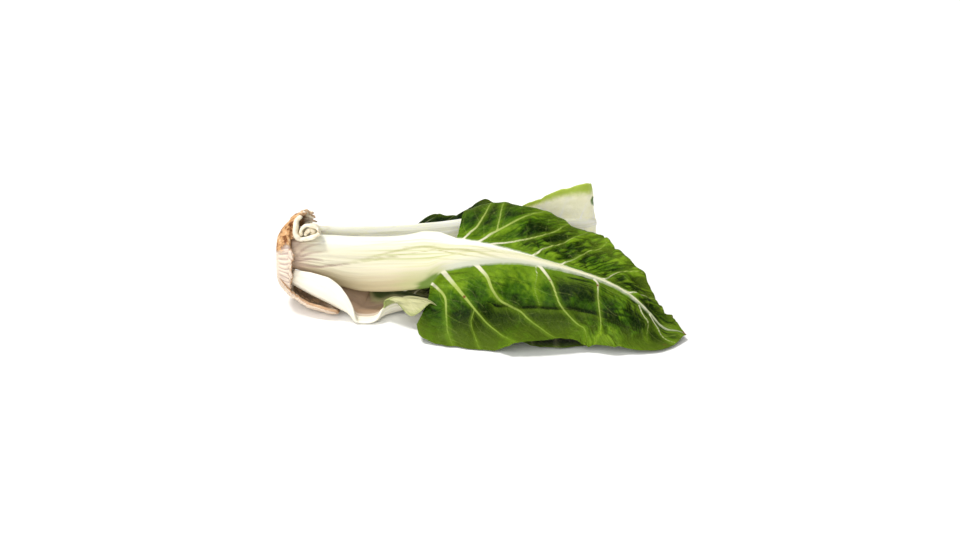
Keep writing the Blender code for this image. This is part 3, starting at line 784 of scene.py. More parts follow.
def blade_relief(table, look, g):
    """Height of the blade's outer face, and the fields that the shader reads"""
    along, out = g.along, g.out
    veins = vein_curves(table, g.halves)
    vein_gap, vein_width = gap_to(veins, along, out)
    twig_gap, _ = gap_to(twig_curves(veins, look["seed"]), along, out)
    fold_gap, fold_force = line_marks(look.get("folds", []), along, out)
    fold_force = fold_force * g.blade
    steps, crease = long_creases(look.get("creases", []), g)
    crumple = look["crumple"]
    if callable(crumple):
        crumple = crumple(along, out)
    # fan runs the way of the veins, across runs square to them
    lean, rise = np.where(out > 0, 0.74, 0.84), np.where(out > 0, 0.67, 0.54)
    fan = along * lean + np.abs(out) * rise
    across = along * rise - np.abs(out) * lean
    bend = 0.5 * waver(along / 12, out / 12, 8)
    big = waver(fan / 26, across / 12, 1) * 1.4
    ridges = np.abs(waver(fan / 20 + bend, across / 7.0 + bend, 4))
    pits = np.abs(waver(along / 6.5 + bend, out / 6.5, 6))
    relief = look.get("quilt", 0.9) * (0.5 - smooth(vein_gap, 0.3, 5.0))
    relief = relief + crumple * (big + 2.8 * (ridges - 0.45) + (pits - 0.45)) + steps
    relief += spots(look.get("lumps", []), along, out)
    relief -= FOLD_DEPTH * np.exp(-(fold_gap / 1.2) ** 2) * fold_force
    away = smooth(g.inside, 0, -6) * g.blade
    ruffle = waver(fan / 17, across * 0 + 1, 9) * look.get("ruffle", 2.0) * (1 - smooth(g.rim, 0, 18))
    cord = CORD_HEIGHT * np.clip(vein_width / 1.2, 0.25, 1) * np.exp(-(np.maximum(vein_gap, 0) / 0.9) ** 2)
    thread = TWIG_HEIGHT * np.exp(-(np.maximum(twig_gap, 0) / 0.6) ** 2)
    height = (relief * (0.35 + 0.65 * smooth(g.rim, 0, 14)) + ruffle + thread) * away
    height += cord * smooth(g.inside, 3, -2)
    valley = np.exp(-(ridges / 0.13) ** 2) + 0.6 * np.exp(-(pits / 0.12) ** 2)
    # marks the valleys of the crumples, where the shader paints shade
    pit = np.clip(valley * np.clip(crumple, 0, 1.2) * smooth(vein_gap, 0.5, 2.0), 0, 1.5) * away
    return height, {"vein_gap": vein_gap, "twig_gap": twig_gap, "relief": relief * away, "pit": pit,
                    "crease": crease, "fold_gap": fold_gap, "fold_force": fold_force,
                    "way": in_plane(fan, across), "crumple": crumple * away}


puckers, _ = blade_relief(MAIN_LEAF, {"seed": 3, "crumple": 0.5}, trial)
print("puckers of an evenly crumpled blade: up to", round(puckers.max(), 1), "mm")

# %% [markdown]
# Leaves and torn bases are thin closed bodies: an outer copy of the grids, an inner
# copy turned the other way, and a wall along every open edge. A Solidify modifier
# does the same with one thickness, but here the thickness changes at each vertex.

# %% From points to a finished piece
WELD_DISTANCE = 0.00001


def grid_quads(grid):
    corners = [grid[:-1, :-1], grid[:-1, 1:], grid[1:, 1:], grid[1:, :-1]]
    return np.stack(corners, -1).reshape(-1, 4)


def add_piece(name, points, faces, fields, finish, turn_outwards=False):
    """A piece from points in table millimetres, welded where its points meet"""
    mesh = bpy.data.meshes.new(name)
    mesh.from_pydata(((points + TABLE_ORIGIN) * MM).tolist(), [], faces.tolist())
    piece = bpy.data.objects.new(name, mesh)
    bpy.context.scene.collection.objects.link(piece)
    for key, values in fields.items():
        is_vector = np.ndim(values) == 2
        attribute = mesh.attributes.new(key, "FLOAT_VECTOR" if is_vector else "FLOAT", "POINT")
        field = "vector" if is_vector else "value"
        attribute.data.foreach_set(field, np.asarray(values, np.float32).ravel())
    bpy.ops.object.select_all(action="DESELECT")
    piece.select_set(True)
    bpy.context.view_layer.objects.active = piece
    bpy.ops.object.mode_set(mode="EDIT")
    bpy.ops.mesh.select_all(action="SELECT")
    bpy.ops.mesh.remove_doubles(threshold=WELD_DISTANCE)
    if turn_outwards:
        bpy.ops.mesh.normals_make_consistent(inside=False)
    bpy.ops.object.mode_set(mode="OBJECT")
    bpy.ops.object.shade_smooth()
    mesh.materials.append(finish.material)
    return piece


print("a grid of 3 x 3 places has", len(grid_quads(np.arange(9).reshape(3, 3))), "faces")

# %% Two faces and the wall between them
def closed_piece(name, outer, inner, grids, fields, finish):
    """A thin closed body from two copies of the same grids"""
    count = len(outer)
    quads = np.concatenate([grid_quads(grid) for grid in grids])
    corner = outer[quads]
    turned = np.cross(corner[:, 2] - corner[:, 0], corner[:, 3] - corner[:, 1])
    facing = (turned * (outer - inner)[quads[:, 0]]).sum(1) > 0
    quads[~facing] = quads[~facing][:, ::-1]
    edges = np.concatenate([quads[:, [k, (k + 1) % 4]] for k in range(4)])
    key = np.minimum(edges[:, 0], edges[:, 1]) * count + np.maximum(edges[:, 0], edges[:, 1])
    _, place, times = np.unique(key, return_index=True, return_counts=True)
    border = edges[place[times == 1]]
    walls = np.stack([border[:, 1], border[:, 0], border[:, 0] + count, border[:, 1] + count], 1)
    fields = {key: np.concatenate([values, values]) for key, values in fields.items()}
    fields["inner"] = np.repeat([0.0, 1.0], count)
    return add_piece(name, np.concatenate([outer, inner]),
                     np.concatenate([quads, quads[:, ::-1] + count, walls]), fields, finish)


def dress(piece, replaced):
    """Put a finished piece in the place of its solids"""
    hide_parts(*replaced)
    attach(piece, "root")
    print(piece.name, len(piece.data.polygons), "faces")


# %% [markdown]
# A leaf is put together from what the cells above work out. Margins are rounded over
# their own thickness, so that they catch the light like a real edge and not like a
# sheet of paper. What would sink into the table is lifted onto it.

# %% Build one leaf
def build_leaf(name, table, look, spacing):
    """Model one leaf and put it in place of its solids"""
    g = LeafGrid(table, look, spacing)
    ribs, stalk_fields = stalk_relief(table, look, g)
    puckers, blade_fields = blade_relief(table, look, g)
    thick = leaf_thickness(table, g)
    surface = g.form.point(g.along, g.out)
    surface[:, 2] += spots(look.get("raise", []), g.along, g.out)
    normal = g.form.outward(g.along, g.out)
    near_floor = np.clip((surface[:, 2] - g.form.lowest - 0.8) / 6.0, 0.12, 1)
    height = (ribs + puckers) * np.where(g.blade, near_floor, 1)
    full = rounded(g.rim / np.clip(thick, 0.5, 2.6), 0.04)
    height = height - thick * (1 - full) / 2
    outer = surface + normal * height[:, None]
    inner = outer - normal * (thick * full)[:, None]
    sunk = np.clip(FLOOR_HEIGHT + 0.05 - np.minimum(outer[:, 2], inner[:, 2]), 0, None)
    outer[:, 2] += sunk
    inner[:, 2] += sunk
    bare = smooth(g.start - g.along, 0, 8)
    fields = {**stalk_fields, **blade_fields, "turn": g.turn, "rim": np.clip(g.rim, 0, 40),
              "flat": in_plane(g.along, g.out), "grain": in_plane(g.along * 0.012, g.turn * 9),
              "rib_gap": np.abs(g.out) - g.half_width - 4 * bare}
    for field in ("tone_and_shade", "stain", "flush"):
        fields[field] = spots(look.get(field, []), g.along, g.out)
    piece = closed_piece(name, outer, inner, g.grids, fields, look["finish"])
    dress(piece, [name + "_stalk", name + "_blade"])


# %% [markdown]
# A leaf's colour comes from its own build: ivory where the stalk is thick, green where
# the sheet is thin, and pale lines where the veins gather the sap. A painted picture on
# the leaf would be simple but coarse. Here masks are mixed from the stored distances
# and from noise, so the colours follow the form at any size. Some masks paint shade
# into folds, pits and creases and paint light onto bulges.

# %% The green of a blade
CREASE_SHADOW = (0.002, 0.007, 0.001)
FOLD_SHADOW = (0.003, 0.010, 0.001)


def leaf_masks(name):
    """A new finish with the distances and noises that all leaf colours share"""
    f = Finish(name)
    f.flat = f.attribute("flat", "Vector")
    f.grain = f.attribute("grain", "Vector")
    f.rib_gap = f.attribute("rib_gap")
    f.vein_gap = f.attribute("vein_gap")
    f.crumple = f.attribute("crumple")
    f.mottle = f.noise(f.flat, 0.22, 4.0, 0.6)
    f.speck = f.noise(f.flat, 1.1, 3.0, 0.6)
    f.streak = f.noise(f.grain, 1.0, 3.0, 0.55)
    f.large_cells = f.cells(f.flat, 0.28)
    f.small_cells = f.cells(f.flat, 0.8)
    way = f.attribute("way", "Vector")
    f.folds = (f.noise(f.stretch(way, (0.06, 0.24, 1.0)), 1.0, 1.5) - 0.5).size()
    f.pleats = (f.noise(f.stretch(way, (0.18, 0.50, 1.0)), 1.0, 1.0) - 0.5).size()
    return f


def blade_colour(f, tints):
    """Green with painted shade in the folds and painted light where the sheet bulges"""
    deep, fresh, bright = tints["greens"]
    cloud = f.noise(f.flat, 0.045, 3.0)
    # lightness of the green: random cloud and mottle, the painted tone and shade spots, and painted light
    # and shade from the relief height
    light = (cloud - 0.5) + (f.mottle - 0.5) + f.attribute("tone_and_shade") + f.attribute("relief") * 0.17 + 0.42
    streaks = f.noise(f.stretch(f.flat, (0.028, 0.42, 1.0)), 1.0, 3.0, 0.6)
    beside_rib = f.fall(f.rib_gap + (f.mottle - 0.5) * 6.0, 1.0, 15.0)
    slit = f.attribute("crease") + (f.speck - 0.5) * 0.9 + (f.mottle - 0.5) * 1.2
    below = 0.0 - slit
    fold = f.fall(f.attribute("fold_gap") + (f.speck - 0.5) * 0.8, 0.1, 1.5)
    return f.paint(
        deep,
        (f.rise(light, 0.0, 0.6), fresh),
        (f.rise(light, 0.5, 1.2), bright),
        (beside_rib * f.rise(streaks, 0.35, 0.65) * 0.75, bright),
        (f.rise(streaks, 0.52, 0.68) * 0.5, deep),
        # thin creases that run the way of the veins: painted light on their ridges and painted shade in
        # their valleys
        (f.rise(f.folds, 0.05, 0.22) * f.crumple * 0.3, bright),
        (f.fall(f.folds, 0.0, 0.10) * 0.5 * f.crumple, deep),
        # the long crease: painted shade on one side, painted light on the other, and a painted shadow line
        # between
        (f.fall(slit, 0.0, 9.0) * f.rise(slit, -0.6, 0.2) * 0.6, deep),
        (f.fall(below, 1.0, 7.0) * f.rise(below, 0.2, 1.4) * 0.25, bright),
        (f.fall((slit + 0.1).size(), 0.3, 1.5) * 0.95, CREASE_SHADOW),
        # painted shadow along the sharp folds
        (fold * f.attribute("fold_force") * 0.85, FOLD_SHADOW),
        # painted shade in the pits of the crumples
        (f.rise(f.attribute("pit"), 0.15, 1.1) * 0.8, deep))


# %% Veins over the green
def with_veins(f, tints, colour):
    """The net of fine veins, then the twigs, then the large veins"""
    bright, vein = tints["greens"][2], tints["vein"]
    net = f.fall(f.large_cells, 0.0, 0.09) * 0.14 + f.fall(f.small_cells, 0.0, 0.12) * 0.05
    twig = f.fall(f.attribute("twig_gap") + (f.speck - 0.5) * 0.3, -0.25, 0.4)
    line = f.fall(f.vein_gap + (f.speck - 0.5) * 0.35, -0.4, 0.4)
    line_colour = f.paint(tints["ivory"], (f.rise(f.rib_gap, 0.0, 14.0), vein),
                          (f.rise(f.rib_gap, 12.0, 45.0) * 0.6, bright))
    return f.paint(colour, (net * tints["net"], vein), (f.fall(f.vein_gap, 0.0, 3.5) * 0.28, bright),
                   (twig * tints["twigs"], vein), (line * 0.9, line_colour))


# %% [markdown]
# The stalk is ivory, with painted light on its top and painted shade with a yellower
# tint below, olive grooves, fine green streaks towards the leaf and a lilac tan where
# it was attached. Painted shade also darkens the front leaf's channel and rims the
# green where the blade starts.

# %% The ivory of a stalk
LIT_STALK = (0.92, 0.92, 0.82)
STREAK_GREEN = (0.64, 0.64, 0.36)
STRIPE_GREEN = (0.46, 0.50, 0.21)
GROOVE_OLIVE = (0.36, 0.36, 0.12)
UNDERSIDE_SHADE_FOOT = (0.49, 0.41, 0.25)
UNDERSIDE_SHADE_LEAFWARD = (0.52, 0.54, 0.43)
CHANNEL_SHADE_BROWN = (0.28, 0.15, 0.07)
FLUSH_SHADE_OLIVE = (0.42, 0.45, 0.20)
FOOT_TAN = (0.52, 0.37, 0.28)
WRINKLE_PLUM = (0.38, 0.25, 0.22)


def stalk_colour(f, tints):
    along = f.node("ShaderNodeSeparateXYZ", {}, {"Vector": f.flat})
    leafward = f.rise(along, 30.0, 90.0)
    turn = f.attribute("turn")
    up_side = turn + (f.streak - 0.5) * 0.4
    stripes = f.noise(f.stretch(f.grain, (0.5, 1.3, 1.0)), 1.0, 2.0)
    beside_ridge = f.fall((turn - 0.14).size(), 0.08, 0.5)
    groove = f.fall(f.attribute("line_gap") + (f.speck - 0.5) * 0.5, 0.0, 1.5) * f.attribute("line_force")
    shaded_underside = f.paint(UNDERSIDE_SHADE_FOOT, (f.rise(along, 85.0, 125.0), UNDERSIDE_SHADE_LEAFWARD))
    hollow = f.attribute("inner") * f.rise(up_side, -0.75, -0.2) * f.fall(along, 75.0, 110.0)
    flush = f.attribute("flush") + (f.streak - 0.5) * 0.5
    foot = f.fall(along + (f.streak - 0.5) * 16.0, 0.0, 22.0)
    wrinkle = f.fall(f.attribute("foot_gap") + (f.speck - 0.5) * 0.5, 0.0, 1.7) * f.attribute("foot_force")
    return f.paint(
        tints["ivory"],
        (f.rise(up_side, 0.15, 0.7), LIT_STALK),
        (f.rise(f.streak, 0.42, 0.66) * (0.12 + 0.32 * leafward), STREAK_GREEN),
        (f.rise(stripes, 0.40, 0.62) * beside_ridge * leafward * tints["stripes"], STRIPE_GREEN),
        (groove * (0.5 + 0.4 * leafward), GROOVE_OLIVE),
        # painted shade with a yellower tint on the underside of the stalk
        (f.rise(0.0 - up_side, 0.1, 0.9) * tints["under"], shaded_underside),
        # painted shade over brown inside the front leaf's channel, under the large stalk
        (hollow * tints["hollow"], CHANNEL_SHADE_BROWN),
        # painted shade: a soft olive fringe round the green flush; on the young leaf the flush itself is
        # dark green with painted shade
        (f.rise(flush, 0.05, 0.5) * 0.6, FLUSH_SHADE_OLIVE),
        (f.rise(flush, 0.45, 0.85) * 0.85, tints["flush"]),
        (foot * tints["foot"], FOOT_TAN),
        (wrinkle * 0.8, WRINKLE_PLUM))


# %% The whole finish of a leaf
IVORY = (0.75, 0.71, 0.55)
LEAF_TINTS = {"ivory": IVORY, "gloss": 0.15, "band": 0.5, "band_share": 0.3,
              "band_colour": (0.2, 0.32, 0.02),
              "hollow": 0.0, "foot": 0.5, "flush": (0.08, 0.16, 0.008), "stripes": 0.0,
              "through_light": 0.06, "stain": (0.17, 0.07, 0.025), "stain_inside": False}


def leaf_finish(name, **given):
    """Blade over stalk, then the band along the margin and the stains"""
    tints = {**LEAF_TINTS, **given}
    f = leaf_masks(name)
    green_part = f.rise(f.rib_gap + (f.mottle - 0.5) * 2.0 + (f.streak - 0.5) * 1.5, -1.4, 1.1)
    blade = with_veins(f, tints, blade_colour(f, tints))
    band = tints["band"]
    edge = f.attribute("rim") + (f.speck - 0.5) * 0.8 + (f.mottle - 0.5) * band * 0.4
    near_edge = f.fall(edge, band * 0.4, band * 1.15 + 0.8)
    stain = f.rise(f.attribute("stain") + (f.speck - 0.5) * 0.3, 0.3, 0.8)
    if tints["stain_inside"]:
        stain = stain * f.attribute("inner")
    colour = f.paint(stalk_colour(f, tints), (green_part, blade),
                     (near_edge * green_part * tints["band_share"], tints["band_colour"]),
                     (stain, tints["stain"]))
    fine = f.noise(f.stretch(f.grain, (2.5, 3.0, 1.0)), 1.0, 2.0)
    height = f.rise(f.large_cells, 0.0, 0.45) * 0.5 + f.rise(f.small_cells, 0.0, 0.5) * 0.25
    height = height + f.speck * 0.4 + (f.folds * 14.0 + f.pleats * 3.0) * f.crumple
    f.set(Base_Color=colour, Roughness=0.44 + (1.0 - green_part) * 0.08 + (f.mottle - 0.5) * 0.16,
          Normal=f.bump(height * green_part + fine * 0.6 * (1.0 - green_part), 0.0005, 0.6),
          Specular_IOR_Level=tints["gloss"], Subsurface_Weight=tints["through_light"],
          Subsurface_Radius=(0.004, 0.004, 0.002), Subsurface_Scale=1.0)
    print(name, len(f.tree.nodes), "nodes")
    return f


# %% [markdown]
# Crown and torn bases share one kind of finish: pale sheath with fine lines along it,
# lilac painted shade in the valleys between its ridges, a rough dried patch, brown
# torn edges and a darker lining. The noise is read from the place on the head, so
# the patch runs on from the crown into the bases.

# %% The finish of the crown and of the torn bases
LINE_LILAC = (0.50, 0.38, 0.34)
VALLEY_SHADE_LILAC = (0.42, 0.31, 0.29)
CLUMP_TAN = (0.80, 0.66, 0.42)
ROT_BROWN = (0.20, 0.07, 0.02)
DRY_TAN = (0.90, 0.70, 0.46)
TORN_BROWN = (0.40, 0.19, 0.06)


def base_finish(name, pale, dry, lining, lining_colour):
    f = Finish(name)
    place = f.node("ShaderNodeTexCoord", {}, {}, "Object")
    grit = f.noise(place, 600.0, 4.0, 0.6)
    clump = f.noise(place, 170.0, 3.0, 0.6)
    lines = f.noise(f.stretch(f.attribute("flat", "Vector"), (0.08, 0.9, 1.0)), 1.0, 3.0, 0.6)
    hollow = f.attribute("hollow")
    rim = f.attribute("rim")
    patch = f.rise(f.attribute("patch") + (clump - 0.5) + (grit - 0.5) * 0.5, -0.15, 0.3)
    brown = f.paint(ROT_BROWN, (f.rise(clump + (grit - 0.5) * 0.5, 0.36, 0.50), dry),
                    (f.rise(clump + (grit - 0.5) * 0.6, 0.55, 0.70), DRY_TAN))
    inside = f.attribute("inner") * hollow * f.rise(rim + clump * 5.0, 4.0, 10.0)
    shaded = tuple(0.5 * c for c in lining_colour)
    colour = f.paint(
        pale,
        (f.rise(lines, 0.46, 0.62) * (0.2 + 0.4 * hollow), LINE_LILAC),
        # painted shade: lilac in the valleys between the ridges
        (f.rise(0.0 - f.attribute("ridge"), 0.1, 0.9) * 0.75, VALLEY_SHADE_LILAC),
        (f.rise(clump, 0.5, 0.75) * 0.35, CLUMP_TAN),
        (patch, brown),
        (f.fall(rim + (grit - 0.5) * 2.0, 0.1, 1.2) * (0.75 - (1.0 - hollow) * 0.60), TORN_BROWN),
        (inside * lining, f.paint(shaded, (f.rise(clump, 0.45, 0.6), lining_colour))))
    height = clump * 0.3 + lines * 0.6 + grit * 0.2 + patch * (grit * 0.6 + clump * 1.5)
    f.set(Base_Color=colour, Roughness=0.55 + grit * 0.15, Normal=f.bump(height, 0.0008, 0.8),
          Specular_IOR_Level=0.2)
    print(name, len(f.tree.nodes), "nodes")
    return f


crown_finish = base_finish("crown_skin", (0.80, 0.68, 0.55), (0.62, 0.35, 0.16), 0.3, (0.60, 0.38, 0.20))

# %% [markdown]
# The crown is the short stem where all leaves meet. Its cut face is to the left, with
# rings left by the knife, and its core reaches in between the stalks. It could be a
# turned profile, but a crown isn't round: the profile is swept, so that lobes,
# ridges in front and the dried crest on top can be added by angle.

# %% The crown
CORE_HEIGHT = 35.5
# x and radius, from the middle of the cut face to the end of the core
CROWN_PROFILE = [
    (0, 0), (0, 5), (0, 11), (0, 16.2), (0.25, 17.2), (0.8, 18.2), (3, 20.6), (6, 23), (9, 24.8),
    (10.6, 24.4), (10.8, 21), (11, 8.2), (24, 7), (36, 4.5), (39.5, 2.5), (40, 0)]


def rough_patch(x, turn):
    """The dried, torn part on top of the crown: above 0 inside it"""
    degrees = np.degrees(turn)
    return np.minimum((138 - degrees) / 14, (degrees - 20) / 20) * 0.6 + (9 - x) / 30


def crown_points():
    profile = np.array(CROWN_PROFILE, float)
    way = lengths(profile)
    at = np.linspace(0, way[-1], 170)
    a = np.linspace(0, 2 * math.pi, 321)[None, :].repeat(len(at), 0)
    x, r = (np.interp(at, way, profile[:, k])[:, None] + 0 * a for k in (0, 1))
    ca, sa = np.cos(a), np.sin(a)
    side = smooth(r, 14, 18) * (1 - smooth(x, 10.0, 10.9))
    lobes = 0.05 * np.cos(3 * a + 0.8) + 0.03 * np.cos(5 * a + 2.0 + 0.15 * x)
    crest = 0.35 * np.minimum(x, 10.4) * np.clip(sa, 0, 1) ** 2
    front = smooth(np.degrees(a), 128, 140) * (1 - smooth(np.degrees(a), 208, 216))
    ridge = 0.4 * np.cos(36 * a + 2 * waver(a * 4, x / 8, 3)) * front * smooth(x, 0.2, 3.0)
    flakes = 0.7 * waver(ca * 6 + 9, sa * 6 + x / 4, 5) + 0.6 * np.abs(waver(ca * 13, sa * 13 + x / 1.6, 7))
    dry = (1 - front) * flakes * smooth(x, 0.1, 2.0)
    radius = r * (1 + side * lobes) + side * (ridge + crest + dry - 0.2)
    cut = (1 - smooth(r, 16.2, 17.4)) * (x < 0.1)
    rings = 0.30 * waver(r / 2.2 + waver(ca * 2, sa * 2, 2), np.arctan2(sa, ca), 9) + 0.35
    x = x + cut * rings * smooth(r, 0, 4)
    arc = a * 20
    fields = {"flat": in_plane(x, arc), "rim": (3.0 * x + 1.2 * cut * (17.4 - r) + 0.2).ravel(),
              "patch": (rough_patch(x, a) * (1 - cut) - cut * 0.3).ravel(),
              "ridge": (ridge * 2 * side).ravel(), "hollow": np.ones(x.size), "inner": np.zeros(x.size)}
    return np.stack([x, radius * ca, CORE_HEIGHT + radius * sa], -1), fields


points, fields = crown_points()
index = np.arange(points[..., 0].size).reshape(points.shape[:2])
crown = add_piece("crown_body", points.reshape(-1, 3), grid_quads(index.T), fields, crown_finish, True)
dress(crown, ["crown"])

# %% [markdown]
# Round the crown sit the bases of leaves that were torn off. Each is a shell: a sheet
# round a bent centre line with ridges along it, cut back unevenly where it tore. A
# pipe cut with a Boolean would give a clean edge, but the tear is the point here, so
# a function says for each strip of the sheet how much of it is left.

# %% A torn shell and its piece
def base_shell(rows, thick, tear, rings, around, ribs, wrinkle, seed, patch=None, count=42):
    """Sheet round a line: each row gives x, y, z, its first and last angle and its radius"""
    rows = np.asarray(rows, float)
    v = np.linspace(0, 1, around + 1)[None, :].repeat(rings + 1, 0)
    left = tear(v[0])[None, :]
    t = np.linspace(0, 1, rings + 1)[:, None] * left
    x, y, z, first, last, radius = np.moveaxis(through(rows, t * (len(rows) - 1)), -1, 0)
    turn = np.radians(first + (last - first) * v)
    long = abs(rows[-1, 0] - rows[0, 0])
    arc = turn * radius
    ridge = np.cos(v * count + 1.5 * waver(v * 6, t * 2, seed))
    rough = waver(arc / 3.0, x / 9, seed) + 0.5 * waver(arc / 1.3, x / 3, seed + 1)
    sides = np.minimum(v, 1 - v) * np.abs(turn[:, -1] - turn[:, 0])[:, None] * radius
    rim = np.minimum((left - t) * long, sides)
    full = rounded(np.minimum(rim, t * long + 0.3) / 1.2, 0.05)
    skin = radius + ribs * ridge + wrinkle * rough - thick * (1 - full) / 2
    faces = []
    for r in (skin, skin - thick * full):
        height = np.maximum(z + r * np.sin(turn), FLOOR_HEIGHT + 0.05)
        faces.append(np.stack([x, y + r * np.cos(turn), height], -1).reshape(-1, 3))
    fields = {"flat": in_plane(x, arc), "rim": rim.ravel(),
              "patch": (patch(x, turn) if patch else 0 * arc - 1).ravel(),
              "ridge": (ridge * ribs * 1.6).ravel(), "hollow": np.ones(arc.size)}
    return *faces, np.arange(v.size).reshape(v.shape), fields


def dress_base(name, sheets, finish, node):
    """Several sheets as one piece in the place of a torn base"""
    outer, inner = (np.concatenate([s[k] for s in sheets]) for k in (0, 1))
    starts = np.cumsum([0] + [len(s[0]) for s in sheets])
    grids = [s[2] + start for s, start in zip(sheets, starts)]
    fields = {key: np.concatenate([s[3][key] for s in sheets]) for key in sheets[0][3]}
    dress(closed_piece(name, outer, inner, grids, fields, finish), [node])


# %% The ridged base in front
def front_tear(share):
    """The base in front tore off obliquely"""
    left = np.interp(share, [0, 0.2, 0.4, 0.5, 0.65, 0.8, 1.0], [0.85, 0.6, 0.45, 0.62, 0.42, 0.25, 0.2])
    return left - 0.08 * np.abs(waver(share * 24, share * 0, 3))


front = base_shell([(9.6, 0, 35.2, 139, 214, 24.9), (11.5, 0, 35, 140, 222, 26.4),
                    (13.5, 0, 35, 148, 226, 26.6), (16, 0, 35, 152, 226, 26.3)],
                   1.8, front_tear, rings=26, around=190, ribs=0.45, wrinkle=0.25, seed=2, count=48)
dress_base("front_base", [front], crown_finish, "stub_front")

# %% [markdown]
# The base on top was torn open, and its inner skin rolled up towards the viewer. The
# roll is seen from its end in the photo. So each of its three sheets is drawn as a
# line in the picture plane and then pulled back along the direction of view.

# %% A rolled sheet
RIGHT = np.array([1.0, 0.0, 0.0])
AWAY = np.array([0.0, math.cos(VIEW_ELEVATION), -math.sin(VIEW_ELEVATION)])
ABOVE = np.array([0.0, math.sin(VIEW_ELEVATION), math.cos(VIEW_ELEVATION)])


def ribbon(line, reach, thick, seed):
    """Rolled sheet from rows of x, height in the picture and y, pulled back by its reach"""
    t = np.linspace(0, len(line) - 1, 160)
    curve = through(line, t)
    height = (curve[:, 1] - curve[:, 2] * math.sin(VIEW_ELEVATION)) / math.cos(VIEW_ELEVATION)
    front = np.stack([curve[:, 0], curve[:, 2], height], 1)
    way = np.gradient(curve[:, :2], axis=0)
    way /= np.linalg.norm(way, axis=1)[:, None]
    side = way[:, 1:2] * -RIGHT + way[:, 0:1] * ABOVE
    d = np.linspace(0, reach, 30)[None, :].repeat(len(t), 0)
    k = t[:, None].repeat(30, 1)
    middle = front[:, None, :] + AWAY * d[..., None]
    middle = middle + side[:, None, :] * (0.3 * waver(k * 1.1, d / 6, seed))[..., None]
    middle = middle + AWAY * (0.8 * waver(t * 1.7, t * 0, seed + 1))[:, None, None]
    length = lengths(front)[:, None]
    ends = np.minimum(length, length[-1] - length)
    rim = np.minimum(np.minimum(d, reach - d + 0.4), ends + 0.1)
    full = rounded(rim / (0.6 * thick), 0.05)
    uneven = 1 + 0.22 * waver(k * 0.8, d / 9, seed + 2)
    half = side[:, None, :] * (thick * uneven * full / 2)[..., None]
    arc = length + 0 * d
    fields = {"flat": in_plane(arc, d),
              "rim": (0.5 + d + 1.5 * waver(arc / 4, d / 3, seed)).ravel(),
              "patch": np.full(d.size, -1.0), "ridge": np.zeros(d.size), "hollow": np.zeros(d.size)}
    faces = [(middle + half).reshape(-1, 3), (middle - half).reshape(-1, 3)]
    return *faces, np.arange(d.size).reshape(d.shape), fields


print("view from", round(math.degrees(VIEW_ELEVATION)), "degrees above")

# %% The torn base on top
torn_finish = base_finish("torn_skin", (0.97, 0.91, 0.74), (0.62, 0.35, 0.16), 0.9, (0.42, 0.22, 0.10))


def top_tear(share):
    """Open towards the viewer, with a toothed far wall"""
    left = np.interp(share, [0, 0.22, 0.53, 0.66, 0.76, 1.0], [0.97, 0.9, 0.62, 0.36, 0.3, 0.3])
    return np.clip(left - 0.12 * np.abs(waver(share * 40, share * 0, 4)), 0.15, 1)


def top_patch(x, turn):
    return np.minimum((150 - np.degrees(turn)) / 30, 1.0) * 0.5 + (15.5 - x) / 8


top = base_shell([(9.0, 3, 50, -10, 160, 14.5), (16, 3, 57, -35, 185, 13.3), (23, 2, 58.5, -40, 207, 13.5),
                  (33, 1, 56, -40, 212, 12)],
                 2.2, top_tear, rings=80, around=190, ribs=0.3, wrinkle=0.8, seed=4, patch=top_patch)
lip = ribbon([(18, 63, -3), (15.4, 59, -7), (14.2, 53.8, -11), (15, 48.6, -13), (18.4, 45.8, -14),
              (23, 46, -14), (28, 47.6, -14), (32, 49.8, -13)], 12.0, 3.3, 6)
curl = ribbon([(17.6, 48, -11), (18.4, 52, -11), (21, 54.8, -11), (25, 55.6, -11), (29, 54.6, -11),
               (31.2, 51.8, -11), (29.8, 49.2, -11)], 11.0, 3.0, 8)
core = ribbon([(21.3, 48.2, -10), (22.3, 51.2, -10), (25.6, 52.4, -10), (27.6, 50.6, -10),
               (25.2, 49.4, -10)], 10.0, 2.8, 10)
dress_base("top_base", [top, lip, curl, core], torn_finish, "stub_top")

# %% [markdown]
# The lowest base has dried to a brown hollow shell. The head rests on it. It is built
# in the same way as the one in front, longer, wider and with an almost whole edge.

# %% The dry base below
dry_finish = base_finish("dry_base_skin", (0.88, 0.74, 0.58), (0.50, 0.26, 0.11), 0.8, (0.66, 0.40, 0.22))


def low_tear(share):
    teeth = 0.05 * np.abs(waver(share * 22, share * 0, 1))
    return 1 - teeth - 0.02 * np.abs(waver(share * 60, share * 0, 2))


low = base_shell([(2.2, 0, 35.4, 200, 300, 20.6), (6, 0, 35.2, 206, 300, 25), (10.8, 0, 35, 214, 298, 28.5),
                  (22, -4, 33.4, 220, 292, 32), (34, -9, 31.8, 222, 285, 32), (46, -13, 31, 230, 278, 31)],
                 2.4, low_tear, rings=90, around=150, ribs=0.3, wrinkle=0.4, seed=10)
dress_base("low_base", [low], dry_finish, "stub_low")

# %% [markdown]
# The large leaf fills most of the photo, so its marks are placed one by one on the
# pattern: the long crease, the sharp folds near the tip, the grooves of the stalk, and
# the lighter and darker fields of the blade, which are partly painted light and shade.
# Noise alone would give a leaf of the same kind, but not this one.

# %% The large leaf: crumple and finish
def main_crumple(along, out):
    """The large leaf is most crumpled above its midrib, towards the tip"""
    upper = smooth(along, 150, 190) * smooth(out, 0, 6)
    tip = smooth(along, 235, 260) * smooth(along, 288, 270)
    upper = upper * (1 - 0.75 * smooth(along, 262, 282))
    skirt = smooth(-out, 42, 50) * (1 - tip)
    return 0.36 + 1.05 * upper + 0.6 * tip - 0.12 * skirt + 0.2 * smooth(out, -2, 6)


green_finish = leaf_finish(
    "large_leaf_skin", greens=((0.004, 0.014, 0.001), (0.034, 0.098, 0.002), (0.155, 0.27, 0.010)),
    vein=(0.38, 0.45, 0.12), gloss=0.03, net=0.22, twigs=0.20, under=1.0, foot=0.8, stripes=0.85)
